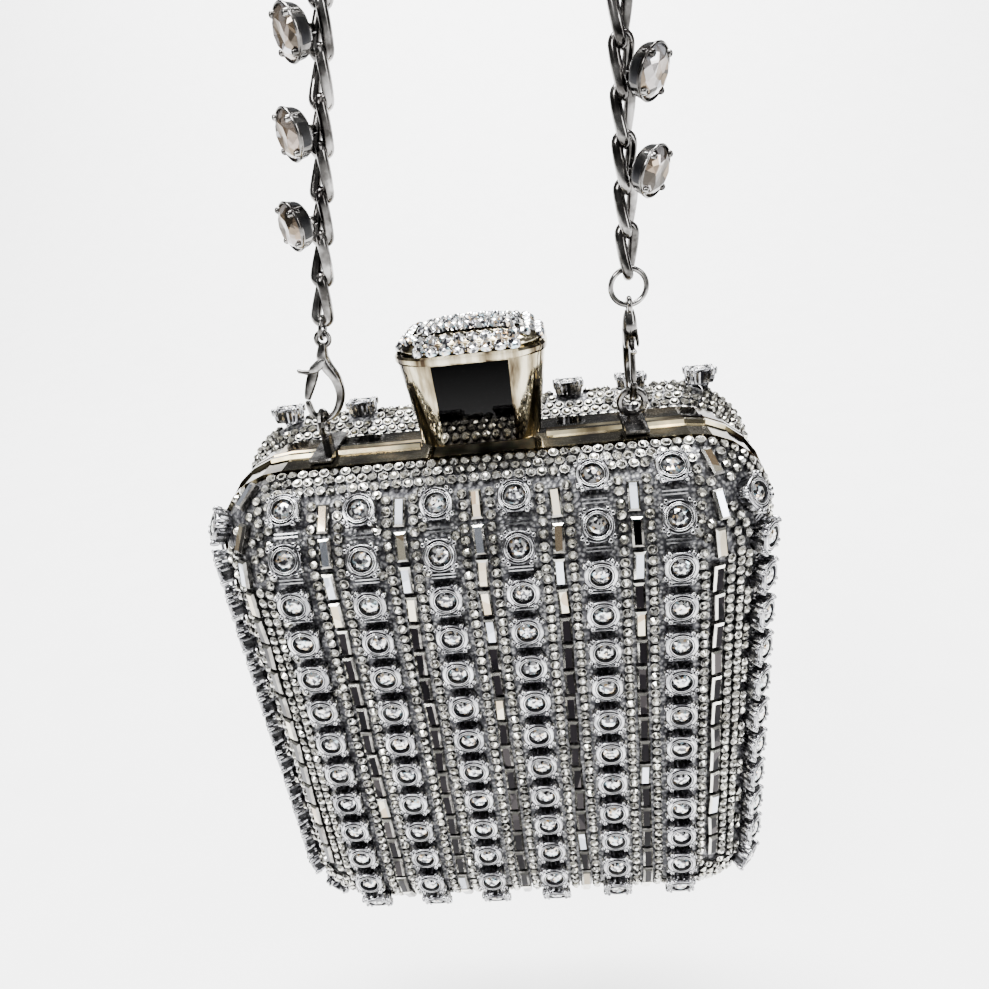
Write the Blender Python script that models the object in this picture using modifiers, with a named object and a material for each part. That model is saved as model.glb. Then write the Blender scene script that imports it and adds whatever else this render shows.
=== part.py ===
"""Rhinestone evening bag: two hard shells on a framed hinge, set stones, knob clasp and chain strap."""
import math

import bmesh
import bpy
from mathutils import Matrix, Vector

# Sizes in metres. The bag is built about the middle of its case: X across, Y front to back
# with the seam at 0, Z up. Everything is then lowered so that the top of the strap is the origin.
FIT_GAP = 0.0003

FACE_HALF_WIDTH = 0.0425
FACE_HALF_HEIGHT = 0.0466
FACE_CORNER = 0.005
FACE_DEPTH = 0.026
SHOULDER_RADIUS = 0.0229
CORNER_GROWTH = 0.013
RIM_DEPTH = 0.0099
BACK_SHOULDER_RADIUS = 0.0055
BACK_FLARE = 26.0
SHELL_WALL = 0.0016
LINING_WALL = 0.001
SHOULDER_STEPS = 6
CORNER_STEPS = 6

RAIL_STAND = 0.0012
RAIL_WALL = 0.0014
RAIL_LIP = 0.004
RAIL_LIP_WALL = 0.0014
SEAM_GAP = 0.0003
BEAD_WIDTH = 0.0024
BEAD_RISE = 0.0008
BEAD_SHOULDER_SHARE = 0.25
NOTCH_DEPTH = 0.0001

COLUMN_PITCH = 0.017
COLUMN_SHIFT = -0.0015
COLUMN_OFFSETS = (-0.0007, -0.002, -0.0021, -0.0018, 0.0012, 0.0016)
ROW_PITCH = 0.01017
ROW_COUNT = 13
SHORT_ROW_COUNT = 12
TOP_ROW_RUN = 0.0661
RUN_LIFT = 0.001
SIDE_TOP_RUN = 0.0583
SIDE_ANGLE_NEAR = 49.0
SIDE_ANGLE_FAR = 64.0
BACK_ROW_COUNT = 14
BACK_TOP_ROW_RUN = 0.0768
BACK_COLUMNS = (-0.0557, -0.038, -0.0218, -0.0045, 0.0129, 0.0331, 0.0533)
STRIP_BASE = 0.0006
CUP_BASE = 0.0056
CUP_WAIST = 0.007
CUP_MOUTH = 0.0075
CUP_WAIST_RISE = 0.0019
CUP_CROWN_RISE = 0.0012

LINE_HALF_WIDTH = 0.0042
LINE_RISE = 0.0011
LINE_SINK = 0.0005
RIDGE_HALF_WIDTH = 0.0015
RIDGE_RISE = 0.0017
TWIN_LINE_STEP = 0.0069
LINE_END_SHARE = 0.6559771
BACK_LINE_INSET = 0.00151775
SIDE_LINE_RUN = 0.046
LINE_BENDS = 3

HINGE_HALF_LENGTH = 0.045
HINGE_SLOT_MARGIN = 0.0125
HINGE_RADIUS = 0.0019
HINGE_BORE = 0.0011
HINGE_PIN = 0.0008
HINGE_LEAF_WALL = 0.001
HINGE_LEAF_REACH = 0.007
HINGE_KNUCKLES = 5

KNOB_Y = -0.0008
KNOB_FOOT_HALF = (0.0139, 0.0085)
KNOB_HEAD_HALF = (0.0163, 0.012)
KNOB_FOOT_CORNER = 0.0058
KNOB_HEAD_CORNER = 0.008
KNOB_CORNER_STEPS = 3
KNOB_RIM_STAND = 0.0006
KNOB_RIM_HEIGHT = 0.0018
KNOB_HEIGHT = 0.0217
KNOB_LIFT = 0.0021
KNOB_WALL = 0.0015
DOME_RISE = 0.0057
DOME_STEPS = 4
KNOB_PLATE = 0.002

STEM_Y = 0.0039
STEM_HALF = 0.0016
FORK_HALF_WIDTH = 0.005
FORK_WALL = 0.001
FORK_DROP = 0.001
FORK_OVERHANG = 0.0004
STEM_FOOT_HALF = 0.0026
STEM_FOOT_HEIGHT = 0.0014
STEM_FOOT_DEPTH_SHARE = 0.9
STEM_FOOT_GAP = 0.0004

LOOP_X = 0.0368
LOOP_SHIFT = -0.0012
LOOP_Y = 0.00116
SWING_RISE = 0.008
TAB_HALF_WIDTH = 0.00265
TAB_FRONT = 0.009
TAB_BACK = 0.0092
TAB_WALL = 0.001
LOOP_RADIUS = 0.0029
LOOP_WIRE = 0.00085
LOOP_POST = 0.0014
HOOK_WIRE = 0.0008

CLAW_PATH = (
    (0.0, 0.0183, 1.5), (0.0, 0.0155, 1.9), (0.0012, 0.0135, 1.9), (0.0034, 0.0105, 1.6),
    (0.0042, 0.007, 1.4), (0.0037, 0.0036, 1.2), (0.0023, 0.0012, 1.05), (0.0, 0.0, 1.0),
    (-0.0022, 0.0011, 1.0), (-0.0034, 0.004, 0.95),
)
CHEEK_OUTLINE = (
    (-0.0029, 0.0113), (-0.0009, 0.0113), (0.0014, 0.0126),
    (0.0006, 0.0152), (-0.0008, 0.0152), (-0.0029, 0.0132),
)
TRIGGER_OUTLINE = (
    (-0.0042, 0.0048), (-0.0029, 0.0048), (-0.0017, 0.009), (-0.0009, 0.0118),
    (-0.0012, 0.0129), (-0.0022, 0.0132), (-0.0029, 0.0125), (-0.0033, 0.0118),
    (-0.0056, 0.0117), (-0.006, 0.0108), (-0.0038, 0.0101),
)
PIVOT = (-0.0019, 0.0122)
PIVOT_PIN = 0.00035
PIVOT_BORE = 0.00065
TRIGGER_HALF_WALL = 0.00065
CHEEK_WALL = 0.0006
EYE_UP = 0.0195
EYE_RADIUS = 0.0015
EYE_WIRE = 0.0006
JUMP_SEAT = 0.0001
JUMP_GAP = 0.0003
RIGHT_CLAW_SHARE = 1.1
JUMP_RADIUS_LEFT = 0.0025
JUMP_WIRE_LEFT = 0.00045
JUMP_RADIUS_RIGHT = 0.0039
JUMP_WIRE_RIGHT = 0.0006

ARCH_RADIUS = 0.0281
ARCH_HEIGHT = 0.15735
LINK_COUNT = 23
LINK_WIRE = 0.0009
LINK_HALF_WIDTH = 0.0027
LINK_TWIST = 90.0
LINK_END_STEPS = 4
SETTING_RADIUS = 0.0053
SETTING_START = 0.0039
SETTING_DEPTH = 0.005
SETTING_BASE_SHARE = 0.6
SETTING_STEM = 0.001
SETTING_SIDES = 10
ROUND_SIDES = 12
WIRE_SIDES = 8

CUT_MARGIN = 0.002

RIM_ANGLE = math.acos(1 - (FACE_DEPTH - RIM_DEPTH) / SHOULDER_RADIUS)
RIM_HALF_WIDTH = FACE_HALF_WIDTH + SHOULDER_RADIUS * math.sin(RIM_ANGLE)
RIM_HALF_HEIGHT = FACE_HALF_HEIGHT + SHOULDER_RADIUS * math.sin(RIM_ANGLE)
RIM_CORNER = FACE_CORNER + CORNER_GROWTH * math.sin(RIM_ANGLE)
BACK_ANGLE = math.radians(90 + BACK_FLARE)
BACK_TURN_DEPTH = FACE_DEPTH - BACK_SHOULDER_RADIUS * (1 - math.cos(BACK_ANGLE))
BACK_DROP = (BACK_TURN_DEPTH - RIM_DEPTH) * math.tan(math.radians(BACK_FLARE))
BACK_REACH = BACK_SHOULDER_RADIUS * math.sin(BACK_ANGLE) - BACK_DROP
LINE_TOP_RUN = FACE_HALF_HEIGHT + (SHOULDER_RADIUS + RUN_LIFT) * RIM_ANGLE * LINE_END_SHARE
BACK_LINE_TOP_RUN = RIM_HALF_HEIGHT - BACK_REACH - BACK_LINE_INSET
RAIL_TOP = RIM_HALF_HEIGHT + RAIL_STAND
RAIL_INSIDE = RAIL_STAND - RAIL_WALL
LIP_EDGE = RAIL_TOP - RAIL_WALL - RAIL_LIP
LINING_INSET = SHELL_WALL + FIT_GAP
LINING_SKIN = RIM_HALF_HEIGHT - LINING_INSET - LINING_WALL
LINING_EDGE = SEAM_GAP / 2 + RAIL_LIP_WALL + FIT_GAP
HINGE_Z = HINGE_RADIUS - RAIL_TOP
SWING_Z = RAIL_TOP + SWING_RISE
TAB_Z = RAIL_TOP + FIT_GAP
KNOB_Z = RAIL_TOP + KNOB_LIFT
FORK_Z = LIP_EDGE - FORK_DROP - FORK_WALL
LEFT_X = LOOP_SHIFT - LOOP_X
RIGHT_X = LOOP_SHIFT + LOOP_X
ARCH_X = RIGHT_X - ARCH_RADIUS
STRAP_TOP = Vector((ARCH_X, 0, ARCH_HEIGHT + ARCH_RADIUS))


def clear_scene():
    for item in list(bpy.data.objects):
        bpy.data.objects.remove(item)


def collection(name):
    made = bpy.data.collections.new(name)
    bpy.context.scene.collection.children.link(made)
    return made


def material(name, colour, metallic, roughness):
    made = bpy.data.materials.new(name)
    made.use_nodes = True
    shader = made.node_tree.nodes["Principled BSDF"]
    shader.inputs["Base Color"].default_value = (*colour, 1)
    shader.inputs["Metallic"].default_value = metallic
    shader.inputs["Roughness"].default_value = roughness
    made.diffuse_color = (*colour, 1)
    return made


def loft(rings, looped=False, cap_start=True, cap_end=True, mesh=None):
    """A skin over rings of equal length; looped joins the last ring to the first."""
    if mesh is None:
        mesh = bmesh.new()
    rows = [[mesh.verts.new(point) for point in ring] for ring in rings]
    pairs = list(zip(rows, rows[1:]))
    if looped:
        pairs.append((rows[-1], rows[0]))
    count = len(rows[0])
    for lower, upper in pairs:
        for i in range(count):
            j = (i + 1) % count
            mesh.faces.new((lower[i], lower[j], upper[j], upper[i]))
    if not looped and cap_start:
        mesh.faces.new(list(reversed(rows[0])))
    if not looped and cap_end:
        mesh.faces.new(rows[-1])
    bmesh.ops.recalc_face_normals(mesh, faces=mesh.faces[:])
    return mesh


def box(low, high):
    mesh = bmesh.new()
    bmesh.ops.create_cube(mesh, size=1)
    low = Vector(low)
    high = Vector(high)
    stretch = Matrix.Diagonal((*(high - low), 1))
    matrix = Matrix.Translation((low + high) / 2) @ stretch
    bmesh.ops.transform(mesh, matrix=matrix, verts=mesh.verts[:])
    return mesh


def cylinder(start, end, radius, sides=ROUND_SIDES, end_radius=None):
    start = Vector(start)
    end = Vector(end)
    turn = (end - start).to_track_quat("Z", "Y")
    rings = []
    for centre, size in ((start, radius), (end, radius if end_radius is None else end_radius)):
        ring = []
        for i in range(sides):
            angle = 2 * math.pi * i / sides
            ring.append(centre + turn @ Vector((size * math.cos(angle), size * math.sin(angle), 0)))
        rings.append(ring)
    return loft(rings)


def torus(centre, across, up, radius, wire, steps=16, sides=8):
    """A wire ring lying in the plane of two directions."""
    across = Vector(across).normalized()
    up = Vector(up).normalized()
    out = across.cross(up)
    rings = []
    for i in range(steps):
        angle = 2 * math.pi * i / steps
        spoke = across * math.cos(angle) + up * math.sin(angle)
        ring = []
        for j in range(sides):
            turn = 2 * math.pi * (j + 0.5) / sides
            offset = spoke * (radius + wire * math.cos(turn)) + out * wire * math.sin(turn)
            ring.append(Vector(centre) + offset)
        rings.append(ring)
    return loft(rings, looped=True)


def plate(outline, half_wall, middle, to_point):
    """A flat outline in a tilted plane, thickened both ways about an offset."""
    rings = []
    for side in (-1, 1):
        rings.append([to_point(u, w, middle + side * half_wall) for u, w in outline])
    return loft(rings)


class Builder:
    """Keeps the part's collection, its cutters, its materials and the joint empties."""

    def __init__(self):
        self.parts = collection("rhinestone_bag")
        self.tools = collection("cutters")
        self.bodies = {}
        self.origins = {}

    def body(self, name, origin, parent=None):
        empty = bpy.data.objects.new(name, None)
        self.parts.objects.link(empty)
        origin = Vector(origin)
        base = self.origins[parent] if parent else STRAP_TOP
        empty.location = origin - base
        empty.parent = self.bodies[parent] if parent else None
        empty.empty_display_size = CUP_MOUTH
        self.bodies[name] = empty
        self.origins[name] = origin

    def item(self, name, mesh, body, skin, group):
        bmesh.ops.transform(mesh, matrix=Matrix.Translation(-self.origins[body]), verts=mesh.verts[:])
        data = bpy.data.meshes.new(name)
        mesh.to_mesh(data)
        mesh.free()
        made = bpy.data.objects.new(name, data)
        made.data.materials.append(skin)
        made.parent = self.bodies[body]
        group.objects.link(made)
        return made

    def node(self, name, mesh, body, skin):
        return self.item(name, mesh, body, skin, self.parts)

    def change(self, target, mesh, body, operation, label):
        """Adds one Boolean step to a node, with its tool kept out of the part."""
        tool = self.item(f"{target.name}_{label}", mesh, body, target.data.materials[0], self.tools)
        tool.hide_render = True
        tool.display_type = "WIRE"
        step = target.modifiers.new(label, "BOOLEAN")
        step.operation = operation
        step.solver = "EXACT"
        step.object = tool


def outline(half_width, half_height, corner, steps=CORNER_STEPS):
    """Points and outward directions round a rounded rectangle in the XZ plane."""
    spots = []
    for quarter in range(4):
        sign_x = 1 if quarter in (0, 3) else -1
        sign_z = 1 if quarter in (0, 1) else -1
        centre = Vector((sign_x * (half_width - corner), 0, sign_z * (half_height - corner)))
        for i in range(steps + 1):
            angle = math.radians(90) * (quarter + i / steps)
            out = Vector((math.cos(angle), 0, math.sin(angle)))
            spots.append((centre + out * corner, out))
    return spots


class Profile:
    """The outer skin of one half, from its flat face round the shoulder to the rim."""

    def __init__(self, half_width, half_height, corner, radius, growth, last_angle):
        self.half_width = half_width
        self.half_height = half_height
        self.corner = corner
        self.radius = radius
        self.growth = growth
        self.last_angle = last_angle
        self.flared = last_angle > math.radians(90)

    def at(self, angle, inset=0):
        """Reach past the face, corner radius and depth at one shoulder angle, set in from the skin."""
        radius = self.radius - inset
        reach = radius * math.sin(angle)
        corner = self.corner + (self.growth - inset) * math.sin(angle)
        return reach, corner, FACE_DEPTH - inset - radius * (1 - math.cos(angle))

    def rings(self, inset):
        """Outlines from the face to the rim; none goes below the foot of the rim."""
        spots = [self.at(self.last_angle * i / SHOULDER_STEPS, inset) for i in range(SHOULDER_STEPS + 1)]
        if self.flared:
            reach, corner, depth = spots[-1]
            drop = (depth - RIM_DEPTH) * math.tan(self.last_angle - math.radians(90))
            spots.append((reach - drop, corner - drop, RIM_DEPTH))
        lowest = -self.half_height - spots[-1][0]
        made = []
        for reach, corner, depth in spots:
            ring = outline(self.half_width + reach, self.half_height + reach, corner)
            made.append([Vector((point.x, -depth, max(point.z, lowest))) for point, _ in ring])
        return made


FRONT = Profile(
    FACE_HALF_WIDTH, FACE_HALF_HEIGHT, FACE_CORNER, SHOULDER_RADIUS, CORNER_GROWTH, RIM_ANGLE,
)
BACK = Profile(
    RIM_HALF_WIDTH - BACK_REACH, RIM_HALF_HEIGHT - BACK_REACH, RIM_CORNER - BACK_REACH,
    BACK_SHOULDER_RADIUS, BACK_SHOULDER_RADIUS, BACK_ANGLE,
)


def pillow(profile, inset, mouth_depth=None):
    """An open dish: flat face, round shoulder and, for a lining, a straight wall to the mouth."""
    rings = profile.rings(inset)
    if mouth_depth is not None:
        rings.append([Vector((point.x, -mouth_depth, point.z)) for point in rings[-1]])
    return loft(rings, cap_end=False)


def turned(mesh, back):
    """The back half is drawn as a front half, then turned half way round the upright axis."""
    if back:
        bmesh.ops.transform(mesh, matrix=Matrix.Rotation(math.pi, 4, "Z"), verts=mesh.verts[:])
    return mesh


def thicken(target, wall):
    step = target.modifiers.new("wall", "SOLIDIFY")
    step.thickness = wall
    step.offset = -1
    step.use_even_offset = True


def rail_mesh():
    """The front frame rail: outer band, bright bead along the seam and a lip round the mouth."""
    seam = SEAM_GAP / 2
    edge = RIM_DEPTH - FIT_GAP
    slope = BEAD_WIDTH * BEAD_SHOULDER_SHARE
    section = (
        (edge, RAIL_STAND),
        (seam + BEAD_WIDTH, RAIL_STAND),
        (seam + BEAD_WIDTH - slope, RAIL_STAND + BEAD_RISE),
        (seam + slope, RAIL_STAND + BEAD_RISE),
        (seam, RAIL_STAND),
        (seam, RAIL_INSIDE - RAIL_LIP),
        (seam + RAIL_LIP_WALL, RAIL_INSIDE - RAIL_LIP),
        (seam + RAIL_LIP_WALL, RAIL_INSIDE),
        (edge, RAIL_INSIDE),
    )
    rings = []
    for point, out in outline(RIM_HALF_WIDTH, RIM_HALF_HEIGHT, RIM_CORNER):
        rings.append([point + out * stand - Vector((0, depth, 0)) for depth, stand in section])
    return loft(rings, looped=True)


def face_station(profile, column_x, run):
    """A spot on the shell over one face column, by distance run up from its middle."""
    past = max(abs(run) - profile.half_height, 0)
    angle = past / (profile.radius + RUN_LIFT)
    reach, _, depth = profile.at(angle)
    side = math.copysign(1, run)
    height = run if past == 0 else side * (profile.half_height + reach)
    normal = Vector((0, -math.cos(angle), side * math.sin(angle)))
    return Vector((column_x, -depth, height)), normal, Vector((1, 0, 0))


def side_station(profile, side, angle, run):
    """A spot on the side shoulder at one shoulder angle, following the outline round its corners."""
    reach, corner, depth = profile.at(angle)
    straight = profile.half_height + reach - corner
    past = max(abs(run) - straight, 0)
    bend = past / corner
    upper = math.copysign(1, run)
    height = run if past == 0 else upper * (straight + corner * math.sin(bend))
    width = profile.half_width + reach - corner * (1 - math.cos(bend))
    out = Vector((side * math.cos(bend), 0, upper * math.sin(bend)))
    normal = out * math.sin(angle) - Vector((0, math.cos(angle), 0))
    along = Vector((-side * upper * math.sin(bend), 0, math.cos(bend)))
    return Vector((side * width, -depth, height)), normal, along.cross(normal)


def line_station(profile, x, run):
    """A spot at one distance across the face, round the side shoulder where it lies past the flat."""
    past = abs(x) - profile.half_width
    if past <= 0:
        return face_station(profile, x, run)
    return side_station(profile, math.copysign(1, x), past / profile.radius, run)


def cup_strip(station, top_run, count):
    """One column of stone cups, formed up out of a thin common strip."""
    rings = []
    for row in range(count):
        spot, normal, across = station(top_run - row * ROW_PITCH)
        along = normal.cross(across)
        for end in (1, -1):
            low = spot + normal * FIT_GAP + along * end * CUP_BASE / 2
            high = low + normal * STRIP_BASE
            half = across * CUP_BASE / 2
            rings.append([low - half, low + half, high + half, high - half])
    mesh = loft(rings)
    mesh.faces.ensure_lookup_table()
    tops = [mesh.faces[row * 8 + 2] for row in range(count)]
    normals = [station(top_run - row * ROW_PITCH)[1] for row in range(count)]
    width = CUP_BASE
    for next_width, rise in ((CUP_WAIST, CUP_WAIST_RISE), (CUP_MOUTH, CUP_CROWN_RISE)):
        raised = bmesh.ops.extrude_discrete_faces(mesh, faces=tops)["faces"]
        for face, normal in zip(raised, normals):
            middle = face.calc_center_median()
            for vert in face.verts:
                vert.co = middle + (vert.co - middle) * (next_width / width) + normal * rise
        tops = raised
        width = next_width
    bmesh.ops.recalc_face_normals(mesh, faces=mesh.faces[:])
    return mesh


def line_section(middles):
    """Across one raised stone line: low shoulders and a ridge for each row of baguettes."""
    points = [(middles[0] - LINE_HALF_WIDTH, -LINE_SINK), (middles[0] - LINE_HALF_WIDTH, LINE_RISE)]
    for middle in middles:
        points.append((middle - RIDGE_HALF_WIDTH, LINE_RISE))
        points.append((middle - RIDGE_HALF_WIDTH, RIDGE_RISE))
        points.append((middle + RIDGE_HALF_WIDTH, RIDGE_RISE))
        points.append((middle + RIDGE_HALF_WIDTH, LINE_RISE))
    points.append((middles[-1] + LINE_HALF_WIDTH, LINE_RISE))
    points.append((middles[-1] + LINE_HALF_WIDTH, -LINE_SINK))
    return points


def stone_lines(profile, middles, top_run):
    """The raised lines between the columns of cups, which carry the baguettes and small stones."""
    mesh = bmesh.new()
    flat = profile.half_height
    for group in middles:
        end_run = top_run if abs(group[-1]) < profile.half_width else SIDE_LINE_RUN
        runs = [end_run]
        if end_run > flat:
            runs = [flat + (end_run - flat) * (1 - i / LINE_BENDS) for i in range(LINE_BENDS + 1)]
        runs += [-run for run in reversed(runs)]
        rings = []
        for run in runs:
            ring = []
            for across, rise in line_section(group):
                spot, normal, _ = line_station(profile, across, run)
                ring.append(spot + normal * rise)
            rings.append(ring)
        loft(rings, mesh=mesh)
    return mesh


def front_layout():
    """Columns of cups on the front, each a station, a top run and a count, and the lines between."""
    far = math.radians(SIDE_ANGLE_FAR)
    near = math.radians(SIDE_ANGLE_NEAR)
    columns = [(lambda run: side_station(FRONT, -1, far, run), SIDE_TOP_RUN, ROW_COUNT)]
    for number, offset in enumerate(COLUMN_OFFSETS, start=1):
        x = (number - 3.5) * COLUMN_PITCH + COLUMN_SHIFT
        columns.append((lambda run, x=x: face_station(FRONT, x, run), TOP_ROW_RUN + offset, ROW_COUNT))
    columns.append((lambda run: side_station(FRONT, 1, near, run), SIDE_TOP_RUN, SHORT_ROW_COUNT))
    middles = [(number * COLUMN_PITCH + COLUMN_SHIFT,) for number in (-2, -1, 0, 1, 2, 3)]
    outer = -3 * COLUMN_PITCH + COLUMN_SHIFT
    middles.insert(0, (outer - TWIN_LINE_STEP, outer))
    return columns, stone_lines(FRONT, middles, LINE_TOP_RUN)


def back_layout():
    """The same for the back, whose columns all stand on its flat face."""
    columns = []
    for x in BACK_COLUMNS:
        columns.append((lambda run, x=x: face_station(BACK, x, run), BACK_TOP_ROW_RUN, BACK_ROW_COUNT))
    middles = [((left + right) / 2,) for left, right in zip(BACK_COLUMNS, BACK_COLUMNS[1:])]
    return columns, stone_lines(BACK, middles, BACK_LINE_TOP_RUN)


def build_half(builder, body, back, skins):
    """One half of the case: shell, lining, rail and its columns of cups."""
    label = "back" if back else "front"
    profile = BACK if back else FRONT
    shell = builder.node(f"{label}_shell", turned(pillow(profile, 0), back), body, skins["shell"])
    thicken(shell, SHELL_WALL)
    columns, lines = back_layout() if back else front_layout()
    builder.change(shell, turned(lines, back), body, "UNION", "stone_lines")
    dish = turned(pillow(profile, LINING_INSET, LINING_EDGE), back)
    lining = builder.node(f"{label}_lining", dish, body, skins["lining"])
    thicken(lining, LINING_WALL)
    rail = builder.node(f"{label}_rail", turned(rail_mesh(), back), body, skins["rail"])
    slot_x = HINGE_HALF_LENGTH + HINGE_SLOT_MARGIN
    slot_y = HINGE_RADIUS + FIT_GAP * 2
    low = (-slot_x, -slot_y, -RAIL_TOP - CUT_MARGIN)
    high = (slot_x, slot_y, RIM_CORNER - LIP_EDGE)
    builder.change(rail, box(low, high), body, "DIFFERENCE", "hinge_slot")
    notch_y = SEAM_GAP / 2 + BEAD_WIDTH + FIT_GAP
    tops = (
        (0, KNOB_FOOT_HALF[0] + FIT_GAP * 4, "knob_notch"),
        (LEFT_X, TAB_HALF_WIDTH + FIT_GAP, "left_notch"),
        (RIGHT_X, TAB_HALF_WIDTH + FIT_GAP, "right_notch"),
    )
    for middle, half, name in tops:
        low = (middle - half, -notch_y, RAIL_TOP - NOTCH_DEPTH)
        high = (middle + half, notch_y, RAIL_TOP + BEAD_RISE + CUT_MARGIN)
        builder.change(rail, box(low, high), body, "DIFFERENCE", name)
    if back:
        hole = STEM_HALF + FIT_GAP
        low = (-hole, STEM_Y - hole, LINING_SKIN - CUT_MARGIN)
        high = (hole, STEM_Y + hole, RAIL_TOP + CUT_MARGIN)
        builder.change(rail, box(low, high), body, "DIFFERENCE", "stem_hole")
        builder.change(lining, box(low, high), body, "DIFFERENCE", "stem_hole")
    for number, (station, top_run, count) in enumerate(columns):
        mesh = turned(cup_strip(station, top_run, count), back)
        builder.node(f"{label}_cup_column_{number}", mesh, body, skins["setting"])


def build_hinge(builder, skins):
    """Two leaves with alternating knuckles; the pin is staked into the back leaf."""
    leaf_low = -RIM_HALF_HEIGHT - RAIL_INSIDE + FIT_GAP
    pitch = 2 * HINGE_HALF_LENGTH / HINGE_KNUCKLES
    for back, body in ((False, "front_half"), (True, "back_half")):
        label = "back" if back else "front"
        side = 1 if back else -1
        near = side * (HINGE_RADIUS + FIT_GAP)
        far = side * HINGE_LEAF_REACH
        low = (-HINGE_HALF_LENGTH, min(near, far), leaf_low)
        high = (HINGE_HALF_LENGTH, max(near, far), leaf_low + HINGE_LEAF_WALL)
        leaf = builder.node(f"{label}_hinge_leaf", box(low, high), body, skins["hinge"])
        for i in range(HINGE_KNUCKLES):
            if (i % 2 == 0) != back:
                continue
            start = -HINGE_HALF_LENGTH + i * pitch + FIT_GAP / 2
            end = start + pitch - FIT_GAP
            knuckle = cylinder((start, 0, HINGE_Z), (end, 0, HINGE_Z), HINGE_RADIUS)
            builder.change(leaf, knuckle, body, "UNION", f"knuckle_{i}")
            low = (start, min(0, near * 2), leaf_low)
            high = (end, max(0, near * 2), leaf_low + HINGE_LEAF_WALL)
            builder.change(leaf, box(low, high), body, "UNION", f"neck_{i}")
        reach = HINGE_HALF_LENGTH + CUT_MARGIN
        if not back:
            bore = cylinder((-reach, 0, HINGE_Z), (reach, 0, HINGE_Z), HINGE_BORE)
            builder.change(leaf, bore, body, "DIFFERENCE", "bore")
        else:
            pin_end = HINGE_HALF_LENGTH - HINGE_LEAF_WALL
            pin = cylinder((-pin_end, 0, HINGE_Z), (pin_end, 0, HINGE_Z), HINGE_PIN)
            builder.change(leaf, pin, body, "UNION", "pin")


def knob_ring(half_x, half_y, corner, height):
    """A rounded rectangle round the knob's upright middle line."""
    spots = outline(half_x, half_y, corner, KNOB_CORNER_STEPS)
    return [Vector((point.x, point.z + KNOB_Y, KNOB_Z + height)) for point, _ in spots]


def build_clasp(builder, skins):
    """The press knob with its domed stone cap and stem, and the fork that the stem holds."""
    foot_x, foot_y = KNOB_FOOT_HALF
    head_x, head_y = KNOB_HEAD_HALF
    foot_corner = KNOB_FOOT_CORNER
    head_corner = KNOB_HEAD_CORNER
    rim = KNOB_RIM_STAND
    wall = KNOB_WALL
    under_rim = KNOB_HEIGHT - KNOB_RIM_HEIGHT
    rings = [
        knob_ring(foot_x - wall, foot_y - wall, foot_corner - wall, 0),
        knob_ring(foot_x, foot_y, foot_corner, 0),
        knob_ring(head_x, head_y, head_corner, under_rim),
        knob_ring(head_x + rim, head_y + rim, head_corner + rim, under_rim),
        knob_ring(head_x + rim, head_y + rim, head_corner + rim, KNOB_HEIGHT),
        knob_ring(head_x, head_y, head_corner, KNOB_HEIGHT),
    ]
    outside = loft(rings, cap_start=False)
    count = len(rings[0])
    ceiling = knob_ring(head_x - wall, head_y - wall, head_corner - wall, under_rim)
    inner_top = [outside.verts.new(point) for point in ceiling]
    outside.verts.ensure_lookup_table()
    mouth = outside.verts[0:count]
    for i in range(count):
        j = (i + 1) % count
        outside.faces.new((mouth[i], mouth[j], inner_top[j], inner_top[i]))
    outside.faces.new(inner_top)
    bmesh.ops.recalc_face_normals(outside, faces=outside.faces[:])
    builder.node("knob_body", outside, "clasp_knob", skins["rail"])

    base = KNOB_HEIGHT + FIT_GAP
    rings = []
    for i in range(DOME_STEPS):
        angle = math.radians(90) * i / DOME_STEPS
        share = math.cos(angle)
        height = base + (DOME_RISE - FIT_GAP) * math.sin(angle)
        rings.append(knob_ring(head_x * share, head_y * share, head_corner * share, height))
    builder.node("knob_stone_dome", loft(rings), "clasp_knob", skins["setting"])

    inset = wall + FIT_GAP
    rings = []
    for height in (0, KNOB_PLATE):
        rings.append(knob_ring(foot_x - inset, foot_y - inset, foot_corner - inset, height))
    stem = builder.node("knob_stem", loft(rings), "clasp_knob", skins["hinge"])
    foot_top = FORK_Z - STEM_FOOT_GAP
    low = (-STEM_HALF, STEM_Y - STEM_HALF, foot_top - STEM_FOOT_HEIGHT)
    high = (STEM_HALF, STEM_Y + STEM_HALF, KNOB_Z + KNOB_PLATE / 2)
    builder.change(stem, box(low, high), "clasp_knob", "UNION", "shaft")
    foot_half = STEM_HALF * STEM_FOOT_DEPTH_SHARE
    low = (-STEM_FOOT_HALF, STEM_Y - foot_half, foot_top - STEM_FOOT_HEIGHT)
    high = (STEM_FOOT_HALF, STEM_Y + foot_half, foot_top)
    builder.change(stem, box(low, high), "clasp_knob", "UNION", "foot")

    back_of_lip = -LINING_EDGE
    low = (-FORK_HALF_WIDTH, back_of_lip - FORK_WALL, FORK_Z)
    high = (FORK_HALF_WIDTH, STEM_Y + STEM_HALF + FORK_OVERHANG, FORK_Z + FORK_WALL)
    fork = builder.node("strike_fork", box(low, high), "front_half", skins["hinge"])
    high = (FORK_HALF_WIDTH, back_of_lip, LINING_SKIN - FIT_GAP)
    builder.change(fork, box(low, high), "front_half", "UNION", "upright")
    hole = STEM_HALF + FIT_GAP
    low = (-hole, STEM_Y - hole, FORK_Z - CUT_MARGIN)
    high = (hole, STEM_Y + hole + CUT_MARGIN, FORK_Z + FORK_WALL + FIT_GAP)
    builder.change(fork, box(low, high), "front_half", "DIFFERENCE", "slot")


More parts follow.
